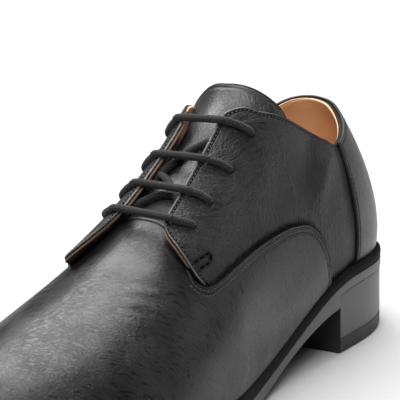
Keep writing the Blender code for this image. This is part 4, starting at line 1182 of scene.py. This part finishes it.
def seat_to_up(side, along, height):
    """The share up each wall that lies at a height above the seat, found between close shares."""
    highest, count = 0.3, 61
    shares = np.linspace(0, highest, count)
    heights = form(side, along[:, None], shares)[..., 2]
    over = heights - heights[:, :1] - np.reshape(height, (-1, 1))
    first = np.argmax(over > 0, axis=1)
    row = np.arange(len(along))
    before, after = over[row, first - 1], over[row, first]
    return shares[first - 1] + (shares[1] - shares[0]) * before / (before - after)


def vamp_columns():
    """Places of the vamp's columns in its wing and in front of it, closer together at edges and turns."""
    turn = np.linspace(WING_FINE, SEAM_END_ALONG, WING_TURN_COLUMNS)
    even = np.linspace(WING_BACK, WING_FINE, int((WING_FINE - WING_BACK) * SIDE_LENGTH / SHEET_STEP))
    back = WING_BACK + EDGE_STEPS[:WING_BACK_STEPS] / SIDE_LENGTH
    wing = np.concatenate([back, even[even > WING_BACK + WING_BACK_CLEAR], turn[1:]])
    steps = EDGE_STEPS / SIDE_LENGTH
    reach = 1 - SEAM_END_ALONG
    further = np.linspace(steps[-1], reach, int(reach * SIDE_LENGTH / SHEET_STEP))[1:]
    return wing, SEAM_END_ALONG + np.append(steps[1:], further)


def vamp_bands(side, wing, front):
    """The vamp's grids below and above its seam's end on one side: along, up, rim and painted-shade edge
    faces.
    """
    along = np.concatenate([wing, front])
    seam = seam_up(along)
    low = np.minimum(seat_to_up(side, along, VAMP_FOOT), VAMP_FOOT_UP)
    length = wall_length(side, along, seam)
    squeeze = np.minimum(1, (seam - low) * length / WING_SQUEEZE)
    steps = seam - EDGE_STEPS[:, None] * squeeze / length
    share = np.linspace(0, 1, VAMP_LOW_ROWS)[1:, None]
    up = np.concatenate([steps, steps[-1] * (1 - share) + low * share])
    number = np.arange(up.size).reshape(up.shape)
    rim = np.concatenate([number[0, len(wing) - 1 :: -1], number[1:, 0], number[-1, 1:]])
    row, column = np.indices((up.shape[0] - 1, up.shape[1] - 1)).reshape(2, -1)
    # faces of the edge painted near-black as shade: a few edge steps along the wing, more at its back, and
    # the rim
    wide = np.round(np.interp(along[column], SHADE_BACK_ALONG, (SHADE_BACK_STEPS, SHADE_EDGE_STEPS)))
    shaded_edge = ((row < wide) & (column < len(wing) - 1)) | (column < SHADE_BACK_STEPS)
    shaded_edge = np.concatenate([shaded_edge, np.zeros(len(row), bool), np.ones(len(rim) - 1, bool)])
    yield along + 0 * up, up, rim, shaded_edge
    up = SEAM_END_UP + (1 - SEAM_END_UP) * np.linspace(0, 1, VAMP_HIGH_ROWS)[:, None]
    start = throat_along(up)
    q = (np.append(SEAM_END_ALONG, front) - SEAM_END_ALONG) / (1 - SEAM_END_ALONG)
    along = start + (1 - start) * q
    rim = np.arange(along.size).reshape(along.shape)[:, 0]
    faces = 2 * (along.shape[0] - 1) * (along.shape[1] - 1) + len(rim) - 1
    yield along, up + 0 * along, rim, np.zeros(faces, bool)


def make_vamp():
    """The vamp in two bands a side, below and above its seam's end, meeting over the ridge."""
    points, faces, maps, shades, edges, first = [], [], [], [], [], 0
    wing, front = vamp_columns()
    for side in (1.0, -1.0):
        path = form(side, *vamp_edge())
        for along, up, rim, shaded_edge in vamp_bands(side, wing, front):
            near = edge_distance(form(side, along, up), path)
            level = vamp_skin(side, along, up)
            start, end = (SEAM_END_UP + step for step in STITCHED_UP)
            stitched = 1 - ease(start, end, up)
            seams = sum(groove(near, row) for row in WING_ROWS) * stitched
            seams = seams + groove(near, THROAT_ROW) * (1 - stitched)
            face = lifted(side, along, up, level - edge_drop(near, THIN_ROUND) + seams)
            # painted shade along the vamp's edge and stitch rows, less a painted highlight on the throat
            # edge's crest
            edge = seam_shade(near, edge=EDGE_SHADE * stitched)
            shade = np.maximum(edge, seam_shade(near, *WING_ROWS) * stitched)
            shade = np.maximum(shade, seam_shade(near, THROAT_ROW, edge=0.0) * (1 - stitched))
            start, end = (SEAM_END_UP + step for step in THROAT_HIGHLIGHT_UP)
            shade = shade - THROAT_HIGHLIGHT * painted_edge_highlight(near) * ease(start, end, up)
            corners, quads = plate(face, lifted(side, along, up, level - OVERLAY), rim)
            points.append(corners)
            faces.append(quads + first)
            maps.append(over_map(side, along, up))
            shades.append(both_faces(shade))
            edges.append(shaded_edge)
            first += len(corners)
    points, faces, maps, shades, edges = map(np.concatenate, (points, faces, maps, shades, edges))
    put_piece(
        "vamp_sheet", points, faces, [vamp_leather, shade_and_binding_black], ("vamp",), uv=maps,
        kinds=edges, seam=shades,
    )


def make_counter():
    """The counter round the heel, from the welt to the top of the collar, with folded edges."""
    reach = COUNTER_FRONT * SIDE_LENGTH
    half = np.append(EDGE_STEPS, np.linspace(EDGE_STEPS[-1], reach, COUNTER_COLUMNS)[1:])
    front = np.append(half, half[-2::-1])
    side = np.where(np.arange(len(front)) < len(half), 1.0, -1.0)
    along = COUNTER_FRONT - front / SIDE_LENGTH
    edge = edge_up(side, along)
    steps = edge - EDGE_STEPS[:, None] / wall_length(side, along, edge)
    share = np.linspace(0, 1, COUNTER_ROWS)[1:, None]
    up = np.concatenate([steps, steps[-1] * (1 - share) + COUNTER_LOW * share])
    top = np.append(EDGE_STEPS, np.full(len(share), np.inf))[:, None]
    near = np.minimum(top, front)
    side, along = np.broadcast_arrays(side, along, up)[:2]
    face = lifted(side, along, up, groove(near, STITCH_ROW) - edge_drop(near, THIN_ROUND))
    points, faces = plate(face, lifted(side, along, up, -OVERLAY))
    # painted shade along the counter's edge and stitch row
    put_piece(
        "counter_sheet", points, faces, [counter_leather], ("counter",),
        uv=round_map(side, along, up), seam=both_faces(seam_shade(near, STITCH_ROW)),
    )


def make_tongue():
    """The tongue from its flared top to a thin end under the vamp, with a turned edge and a tan back."""
    steps = EDGE_STEPS[:-1]
    inset = np.append(steps, np.linspace(EDGE_STEPS[-1], TONGUE_WIDE, TONGUE_COLUMNS)) / TONGUE_WIDE
    half = 1 - inset
    across = np.append(half, -half[-2::-1])
    down = np.abs(across)
    side = np.where(np.arange(len(across)) < len(half), 1.0, -1.0)
    share = np.append(steps, np.linspace(EDGE_STEPS[-1], TONGUE_LONG, TONGUE_ROWS)) / TONGUE_LONG
    share = share[:, None]
    up = 1 - (1 - np.interp(share, (0, 1), TONGUE_SIDE_UP)) * down
    start = TONGUE_TOP - by_side(side, TONGUE_TOP_DROP) * down**TONGUE_TOP_CURVE
    along = start + (TONGUE_END - start) * share
    flare = 1 - ease(*TONGUE_FLARE_ALONG, along)
    flare = flare * (1 - TONGUE_FLARE_SIDE * ease(*TONGUE_FLARE_DOWN, down))
    waves = 1 - np.cos(TONGUE_RIPPLES * (along - TONGUE_RIPPLE_ALONG[0]))
    ripple = TONGUE_RIPPLE * waves * np.cos(TONGUE_RIPPLE_CURVE * across) * ease(*TONGUE_RIPPLE_ALONG, along)
    near = np.minimum(share * TONGUE_LONG, (1 - down) * TONGUE_WIDE)
    skive = ease(*TONGUE_SKIVE, along)
    level = (TONGUE_LEVEL + TONGUE_FLARE * flare - ripple) * (1 - skive) - (OVERLAY + GAP / 2) * skive
    thick = TONGUE * (1 - skive) + TONGUE_END_THICK * skive
    side = side + 0 * up
    turned = -TONGUE_TURN * bell(near, TONGUE_TURN_WIDE, TONGUE_TURN_AT)
    rise = -edge_drop(near, TONGUE_ROUND) * (1 - skive) + turned * (1 - skive)
    face = lifted(side, along, up, level + rise)
    back = lifted(side, along, up, level - thick + edge_drop(near, TONGUE_BACK_ROUND) * (1 - skive))
    points, faces = plate(face, back)
    quads = (up.shape[0] - 1) * (up.shape[1] - 1)
    number = np.arange(len(faces))
    tan = (number >= quads) & (number < 2 * quads)
    bound = both_faces(near < TONGUE_BINDING)[faces].all(axis=1)
    # painted shade along the turned edge, and a painted shadow on the end under the vamp
    turn_shade = bell(near, TONGUE_TURN_SHADE_WIDE, TONGUE_TURN_AT) * TONGUE_TURN_SHADE
    shade = np.maximum(turn_shade, ease(*TONGUE_END_SHADOW, along))
    put_piece(
        "tongue_sheet", points, faces, [tongue_leather, lining_leather, shade_and_binding_black],
        ("tongue",), uv=over_map(side, along, up), kinds=np.where(bound, 2, tan), seam=both_faces(shade),
    )


# Lace


def smooth_path(route, spacing):
    """Points at even spacing on a smooth curve through the route's points.

    Each stretch is a cubic whose slope at a point is half the way from the point before to the one after.
    """
    route = np.array(route)
    padded = np.concatenate([[2 * route[0] - route[1]], route, [2 * route[-1] - route[-2]]])
    pieces = []
    for k in range(1, len(padded) - 2):
        before, start, end, after = padded[k - 1 : k + 3]
        count = max(1, round(np.linalg.norm(end - start) / spacing))
        q = (np.arange(count) / count)[:, None]
        pieces.append(0.5 * (
            2 * start + (end - before) * q + (2 * before - 5 * start + 4 * end - after) * q**2
            + (3 * start - before - 3 * end + after) * q**3
        ))
    return np.concatenate([*pieces, route[-1:]])


def lace_over_flap(side, along, up):
    """Centre of the lace where it lies on the flap."""
    along, up = np.array(along), np.array(up)
    return lifted(side, along, up, upper_level(side, along, up) + LACE_RADIUS + LACE_CLEAR[side])


def eyelet_leg(side, row, toward):
    """The lace's way out of an eyelet, from under the flap to its face, towards the next point."""
    centre, normal, _ = EYELETS[side, row]
    way = toward - centre
    way = way - normal * (way @ normal)
    way /= np.linalg.norm(way)
    return [centre + way * ahead + normal * rise for ahead, rise in LEG_STEPS]


def bar_route(row):
    """One bar: out of the inner eyelet, over both flaps and into the outer eyelet."""
    over = {}
    for side in (1, -1):
        start, end = EYELET_ALONG[side][row], EYELET_ALONG[-side][row]
        edge = float(flap_edge(side, np.array(start)))
        over[side] = []
        for step in BAR_STEPS:
            share = np.interp(step, (0.0, 0.5, 1.0), (0.0, *BAR_SHARES[side]))
            place = start + (end - start) * share + BAR_AHEAD[row] * np.sqrt(step)
            up = EYELET_UP[side] + (edge - EYELET_UP[side]) * step
            over[side].append(lace_over_flap(side, place, up))
    legs = {side: eyelet_leg(side, row, over[side][0]) for side in (1, -1)}
    return [*legs[-1], *over[-1], *over[1][::-1], *legs[1][::-1]]


def strand_route(start, end):
    """A slanting strand over the tongue from one eyelet, given as (side, row), to another."""
    rises = [1 - EYELET_UP[spot[0]] for spot in (start, end)]
    along = [EYELET_ALONG[side][row] for side, row in (start, end)]
    route = []
    for share in STRAND_SHARES:
        climb = share * sum(rises)
        side, down = (start[0], rises[0] - climb) if climb < rises[0] else (end[0], climb - rises[0])
        place = np.array(along[0] + (along[1] - along[0]) * share)
        route.append(lifted(side, place, np.array(1 - down), TONGUE_LEVEL + LACE_RADIUS))
    return route


def make_lace():
    """One lace: bars over the flaps and strands under them, in turn, swept as a round cord."""
    route = [
        *bar_route(0), *strand_route((1, 0), (-1, 2)),
        *bar_route(2), *strand_route((1, 2), (-1, 3)),
        *bar_route(3), *strand_route((1, 3), (-1, 1)),
        *bar_route(1),
    ]
    path = smooth_path(route, LACE_STEP)
    tangent = np.gradient(path, axis=0)
    tangent /= np.linalg.norm(tangent, axis=1, keepdims=True)
    upwards = [0.3, 0.1, 1.0]
    sides = [np.cross(tangent[0], upwards)]
    for way in tangent:
        turned = sides[-1] - way * (sides[-1] @ way)
        sides.append(turned / np.linalg.norm(turned))
    sides = np.array(sides[1:])
    other = np.cross(tangent, sides)
    turn = np.linspace(0, 2 * np.pi, LACE_SIDES + 1)
    radius = LACE_RADIUS * np.ones(len(path))
    radius[0] = radius[-1] = 0.0
    ring = np.cos(turn)[:, None] * sides[:, None, :] + np.sin(turn)[:, None] * other[:, None, :]
    grid = path[:, None, :] + radius[:, None, None] * ring
    pair = np.broadcast_arrays(path_lengths(path)[:, None], turn / (2 * np.pi))
    # painted shade on the lace near the eyelets
    put_piece(
        "lace_run", grid.reshape(-1, 3), sheet_quads(*grid.shape[:2]), [lace_cord], ("lace",),
        uv=np.stack(pair, axis=-1).reshape(-1, 2), seam=eyelet_shade(grid), smooth=180,
    )


# Sole


def ring_places(step):
    """Sides and places all round the seat edge, at an even step, from the heel over the outer side."""
    shares = np.linspace(0, 1, int(round(SIDE_LENGTH / step)) + 1)
    side = np.append(np.ones(len(shares)), -np.ones(len(shares) - 2))
    return side, np.append(shares, shares[-2:0:-1])


def foot_share(x):
    """The share along the shoe where the outer seat edge reaches x."""
    count = 2001
    shares = np.linspace(0, 1, count)
    return float(np.interp(x, form(1, shares, 0 * shares)[:, 0], shares))


def sole_bottom(x):
    """Height of the sole's underside in front of the heel: the arch, the flat tread and the toe spring."""
    arch = ARCH_HEIGHT * (1 - ease(ARCH_START, TREAD_START, x))
    toe_end = LAST_LENGTH / 2 + WELT_OUT
    spring = TOE_SPRING * np.clip((x - TREAD_END) / (toe_end - TREAD_END), 0, None) ** 2
    return arch + spring


def loop_quads(rings, count):
    """Quads between rings of points that close on themselves."""
    number = np.arange(rings * count).reshape(rings, count)
    turn = np.roll(number, -1, axis=1)
    return np.stack([number[:-1], number[1:], turn[1:], turn[:-1]], axis=-1).reshape(-1, 4)


def make_welt():
    """The welt: a rounded strip all round, its profile a soft bulge between upper and outsole.

    At the waist it stands taller, as painted shadow: its black stands in for the shade between upper
    and welt. It never lies behind the leather's face at its own height.
    """
    side, along = ring_places(WELT_STEP)
    tall = WELT_HEIGHT + WELT_WAIST * (ease(*WELT_WAIST_START, along) - ease(*WELT_WAIST_END, along))

    def wall_at(share, level):
        """The leather's face at a share of the welt's height, plus a level."""
        up = by_side(side, {s: seat_to_up(s, along, tall * share) for s in (1, -1)})
        return lifted(side, along, up, upper_level(side, along, up) + level)

    seat = seat_edge(side, along, 0.0)
    way = (seat_edge(side, along, 1 * MM) - seat) / MM
    base = seat[:, 2]
    bottom = lifted(side, along, 0 * along, upper_level(side, along, 0 * along) + GAP)
    top = wall_at(1.0, GAP)
    bottom[:, 2], top[:, 2] = base, base + tall
    rings = [bottom, top]
    turn = np.linspace(0, np.pi, WELT_TURNS)
    bulge = np.sin(turn)
    out = WELT_INSET + WELT_BULGE * bulge**WELT_BULGE_CURVE + WELT_FLARE * (turn / np.pi) * (1 - bulge)
    for share, level in zip(out, 0.5 + 0.5 * np.cos(turn)):
        wall = wall_at(max(level, WELT_LOW), 0.0) - seat
        clear = np.einsum("ij,ij->i", wall, way) + WELT_PROUD
        ring = seat + way * np.maximum(WELT_OUT * share, clear)[:, None]
        ring[:, 2] = base + tall * level
        rings.append(ring)
    rings.append(bottom)
    faces = loop_quads(len(rings), len(along))
    put_piece("welt_run", np.concatenate(rings), faces, [welt_black], ("welt",))


def make_slab(name, materials, replaces, end, top, bottom, out, rounds):
    """A slab with the sole's outline: a closed sheet from its top's middle over its edge to its bottom's.

    end: share along the shoe where it stops. top and bottom give heights at points. rounds: radius of its
    top and bottom edges. The last material is on the breast, where a slab stops before the toe.
    """
    step = SOLE_BREAST_STEP / SIDE_LENGTH
    shares = np.linspace(0, end, int(round(end * SIDE_LENGTH / SOLE_STEP)) + 1)
    if end == 1:
        breast = foot_share(BREAST)
        apart = np.abs(shares - breast) > BREAST_CLEAR * step
        shares = np.sort(np.append(shares[apart], [breast - step / 3, breast + step / 3]))
    turn = np.linspace(0, np.pi / 2, SOLE_TURNS)
    edges = [(rounds[0] * (1 - np.sin(t)), -rounds[0] * (1 - np.cos(t)), top) for t in turn]
    edges += [(rounds[1] * (1 - np.cos(t)), rounds[1] * (1 - np.sin(t)), bottom) for t in turn]
    rings = []
    for edge_in, rise, height in edges:
        ring = [seat_edge(side, shares, out - edge_in) for side in (1, -1)]
        for points in ring:
            points[:, 2] = height(points, shares) + rise
        rings.append(ring)
    across = np.linspace(0, 1, SOLE_ACROSS)[:, None]
    caps = []
    for ring, height in ((rings[0], top), (rings[-1], bottom)):
        middle = ring[0][:, None] * (1 - across) + ring[1][:, None] * across
        middle[..., 2] = height(middle, shares[:, None])
        caps.append(middle)
    half = SOLE_ACROSS // 2
    points, quads, count = [], [], 0
    for number, inwards in ((0, range(half, 0, -1)), (1, range(half, SOLE_ACROSS - 1))):
        columns = [caps[0][:, k] for k in inwards]
        columns += [ring[number] for ring in rings]
        columns += [caps[1][:, k] for k in reversed(inwards)]
        points.append(np.stack(columns, axis=1))
    if end < 1:
        ends = np.array([[ring[0][-1], ring[1][-1]] for ring in rings])
        points.append(ends[:, :1] * (1 - across) + ends[:, 1:] * across)
    for grid in points:
        quads.append(sheet_quads(*grid.shape[:2]) + count)
        count += grid.shape[0] * grid.shape[1]
    kinds = np.repeat([0, 0, len(materials) - 1][:len(quads)], [len(grid) for grid in quads])
    points = np.concatenate([grid.reshape(-1, 3) for grid in points])
    put_piece(name, points, np.concatenate(quads), materials, replaces, kinds=kinds, smooth=30)


def make_sole():
    """Outsole, heel block, rubber top piece and insole."""
    breast = foot_share(BREAST)
    heel_end = breast - 2 * GAP / SIDE_LENGTH

    def seat_of(shares):
        """Height of the seat: the mean of its two edges."""
        outer, inner = form(1, shares, 0 * shares)[..., 2], form(-1, shares, 0 * shares)[..., 2]
        return (outer + inner) / 2

    def seat_plus(height):
        """A surface at a height above the seat."""
        return lambda points, shares: points[..., 2] * 0 + seat_of(shares) + height

    def level_at(height):
        """A level surface at a height above the floor."""
        return lambda points, shares: points[..., 2] * 0 + height

    def outsole_bottom(points, shares):
        """The sole's underside: even with the seat over the heel, then arch, tread and toe."""
        over_heel = seat_of(shares) - GAP - SOLE_OVER_HEEL
        return np.where(shares + 0 * points[..., 2] < breast, over_heel, sole_bottom(points[..., 0]))

    make_slab(
        "outsole_slab", [sole_grey], ("outsole",), 1, seat_plus(-GAP), outsole_bottom,
        WELT_OUT, OUTSOLE_ROUNDS,
    )
    # the heel block's breast takes the top piece's black as painted shade
    make_slab(
        "heel_slab", [heel_grey, top_piece_and_shade_black], ("heel_block",), heel_end,
        seat_plus(-SOLE_OVER_HEEL - GAP - SNUG), level_at(TOP_PIECE + SNUG), HEEL_OUT, HEEL_ROUNDS,
    )
    make_slab(
        "top_piece_slab", [top_piece_and_shade_black], ("heel_top_piece",), heel_end,
        level_at(TOP_PIECE), level_at(0.0), HEEL_OUT, TOP_PIECE_ROUNDS,
    )
    make_slab(
        "insole_slab", [insole_leather], ("insole",), 1, seat_plus(INSOLE), seat_plus(GAP),
        -INSOLE_IN, INSOLE_ROUNDS,
    )


# Stitches


def stitch_parts(path, normals, thicker):
    """Stitches along a path: small round-ended threads laid end to end, each turned with the path."""
    lengths = path_lengths(path)
    count = max(1, int(lengths[-1] / (STITCH_PITCH * thicker)))
    middle = (np.arange(count) + 0.5) * lengths[-1] / count

    def at(where, values):
        """Values between the path's points, at distances along it."""
        return np.stack([np.interp(where, lengths, values[:, k]) for k in range(3)], axis=-1)

    half = STITCH_LENGTH * thicker / 2
    start, end, normal = at(middle - half, path), at(middle + half, path), at(middle, normals)
    way = (end - start) / np.linalg.norm(end - start, axis=1, keepdims=True)
    normal -= way * np.einsum("ij,ij->i", normal, way)[:, None]
    normal /= np.linalg.norm(normal, axis=1, keepdims=True)
    across = np.cross(way, normal)
    u = np.linspace(-1, 1, STITCH_POINTS)
    v = np.linspace(0, 2 * np.pi, STITCH_POINTS)
    thick = STITCH_RADIUS * thicker * np.sqrt(np.clip(1 - np.abs(u) ** 3, 0, 1))
    sink = -STITCH_DIP * u**2
    centre = (start + end) / 2
    grid = (
        centre[:, None, None] + (u * half)[:, None, None] * way[:, None, None]
        + (sink[:, None] + thick[:, None] * np.cos(v))[..., None] * normal[:, None, None]
        + (thick[:, None] * np.sin(v))[..., None] * across[:, None, None]
    )
    first = np.arange(count) * STITCH_POINTS**2
    quads = sheet_quads(STITCH_POINTS, STITCH_POINTS) + first[:, None, None]
    return grid.reshape(-1, 3), quads.reshape(-1, 4)


def surface_row(side, along, up, level):
    """Points and normals of a row of stitches on a piece, from places and levels."""
    side = np.full_like(along, side)
    return lifted(side, along, up, level), outward(side, along, up)


def inset_row(side, along, up, inset):
    """Places at a distance to the inside of an edge, worked out in lengths along and up the form."""
    along_way, up_way = ways(side, along, up)
    fast, tall = np.linalg.norm(along_way, axis=-1), np.linalg.norm(up_way, axis=-1)
    run, rise = np.gradient(along) * fast, np.gradient(up) * tall
    length = np.hypot(run, rise)
    return along + inset * rise / length / fast, up - inset * run / length / tall


def bar_tack(side):
    """The loop of stitches that holds the foot of the flap: two short rows joined by a half round."""
    along, up = np.array(BAR_TACK).T
    run = np.append(0, np.cumsum(np.hypot(np.diff(along) * SIDE_LENGTH, np.diff(up) * FOLD_GIRTH)))
    even = np.linspace(0, run[-1], TACK_POINTS)
    along, up = np.interp(even, run, along), np.interp(even, run, up)
    along = along + front_edge[side](up) - front_edge[1](up)
    return surface_row(side, along, up, quarter_skin(side, along, up) + TACK_RAISED)


def stitch_rows(side):
    """One side's rows: two along the wing, one round collar and flap, and one down the counter's edge."""
    wing = np.linspace(WING_BACK + WING_STITCH_CLEAR, SEAM_END_ALONG, WING_ROW_POINTS)
    for inset in WING_ROWS:
        along, up = inset_row(side, wing, seam_up(wing), inset)
        keep = up > STITCH_LOW
        along, up = along[keep], up[keep]
        yield surface_row(side, along, up, vamp_skin(side, along, up) - STITCH_SUNK)
    reach = (FLAP_FRONT[1] - COUNTER_FRONT) * SIDE_LENGTH - COLLAR_STITCH_CLEAR
    top = np.linspace(reach, STITCH_ROW, COLLAR_ROW_POINTS)
    down = np.linspace(STITCH_ROW, FLAP_STITCH_DEPTH, FLAP_ROW_POINTS)[1:]
    front = np.append(top, np.full(len(down), STITCH_ROW))
    below = np.append(np.full(len(top), STITCH_ROW), down)
    along, up, _ = flap_place(side, front, below)
    keep = up > seam_up(along) + SEAM_CLEAR_UP
    along, up = along[keep], up[keep]
    yield surface_row(side, along, up, quarter_skin(side, along, up) - STITCH_SUNK)
    up = np.linspace(*COUNTER_STITCH_UP, COUNTER_ROW_POINTS)
    along = np.full_like(up, COUNTER_FRONT - STITCH_ROW / SIDE_LENGTH)
    yield surface_row(side, along, up, -STITCH_SUNK)


def make_stitches():
    """All rows of stitches as one joined mesh."""
    rows = [(*row, 1.0) for side in (1, -1) for row in stitch_rows(side)]
    rows += [(*bar_tack(side), TACK_THICKER) for side in (1, -1)]
    points, faces, kinds, first = [], [], [], 0
    for path, normals, thicker in rows:
        grid, quads = stitch_parts(path, normals, thicker)
        points.append(grid)
        faces.append(quads + first)
        kinds.append(np.full(len(quads), thicker > 1))
        first += len(grid)
    points, faces, kinds = map(np.concatenate, (points, faces, kinds))
    threads = [thread_black, tack_black]
    put_piece("stitches", points, faces, threads, kinds=kinds, smooth=180)


# Floor, light and camera


def aimed(place, back, right, above):
    """Where a light or the camera stands and which way it faces, as a matrix."""
    axes = np.eye(4)
    axes[:3, :3] = np.stack([right, above, back], axis=1)
    axes[:3, 3] = place
    return Matrix(axes.tolist())


def add_light(name, place, target, size, power):
    """A rectangular area light that faces a target."""
    light = bpy.data.lights.new(name, "AREA")
    light.shape = "RECTANGLE"
    light.size, light.size_y = size
    light.energy = power
    made = bpy.data.objects.new(name, light)
    back = np.array(place, float) - np.array(target, float)
    back /= np.linalg.norm(back)
    steep = 0.9
    right = np.cross([0.0, 1.0, 0.0] if abs(back[2]) > steep else [0.0, 0.0, 1.0], back)
    right /= np.linalg.norm(right)
    made.matrix_world = aimed(place, back, right, np.cross(back, right))
    bpy.context.scene.collection.objects.link(made)


def make_stage():
    """A pale floor, a large soft box above, a fill from the front, a faint rim light, a white surround."""
    mesh = bpy.data.meshes.new("floor")
    corners = [(-1, -1), (1, -1), (1, 1), (-1, 1)]
    points = [(FLOOR_HALF * x, FLOOR_HALF * y, -FLOOR_BELOW) for x, y in corners]
    mesh.from_pydata(points, [], [(0, 1, 2, 3)])
    material, tree, shader = new_material("floor_white")
    tone = (FLOOR_TONE, FLOOR_TONE, FLOOR_TONE, 1)
    fill(tree, shader, {"Base Color": tone, "Roughness": 0.9, "Specular IOR Level": 0.1})
    mesh.materials.append(material)
    floor = bpy.data.objects.new("floor", mesh)
    bpy.context.scene.collection.objects.link(floor)
    world = bpy.data.worlds.new("surround")
    bpy.context.scene.world = world
    world.use_nodes = True
    tree = world.node_tree
    fill(tree, tree.nodes["Background"], {"Color": (1, 1, 1, 1), "Strength": SURROUND})
    for name, settings in LIGHTS.items():
        add_light(name, *settings)


def make_camera():
    """The camera at the photograph's angle, with its long lens."""
    level = np.cos(VIEW_RAISE)
    back = np.array([level * np.cos(VIEW_TURN), level * np.sin(VIEW_TURN), np.sin(VIEW_RAISE)])
    right = np.cross([0.0, 0.0, 1.0], back)
    right /= np.linalg.norm(right)
    above = np.cross(back, right)
    cosine, sine = np.cos(VIEW_ROLL), np.sin(VIEW_ROLL)
    camera = bpy.data.cameras.new("camera")
    camera.sensor_width = SENSOR
    camera.lens = SENSOR * VIEW_FOCUS_PIXELS / IMAGE_SIZE
    made = bpy.data.objects.new("camera", camera)
    rolled = cosine * right + sine * above, cosine * above - sine * right
    made.matrix_world = aimed(VIEW_TARGET + back * VIEW_DISTANCE, back, *rolled)
    bpy.context.scene.collection.objects.link(made)
    bpy.context.scene.camera = made


make_camera()
make_quarters()
make_quarter_lining()
make_vamp_lining()
make_vamp()
make_counter()
make_tongue()
make_lace()
make_welt()
make_sole()
make_stitches()
make_stage()
bpy.context.scene.view_settings.view_transform = "Standard"
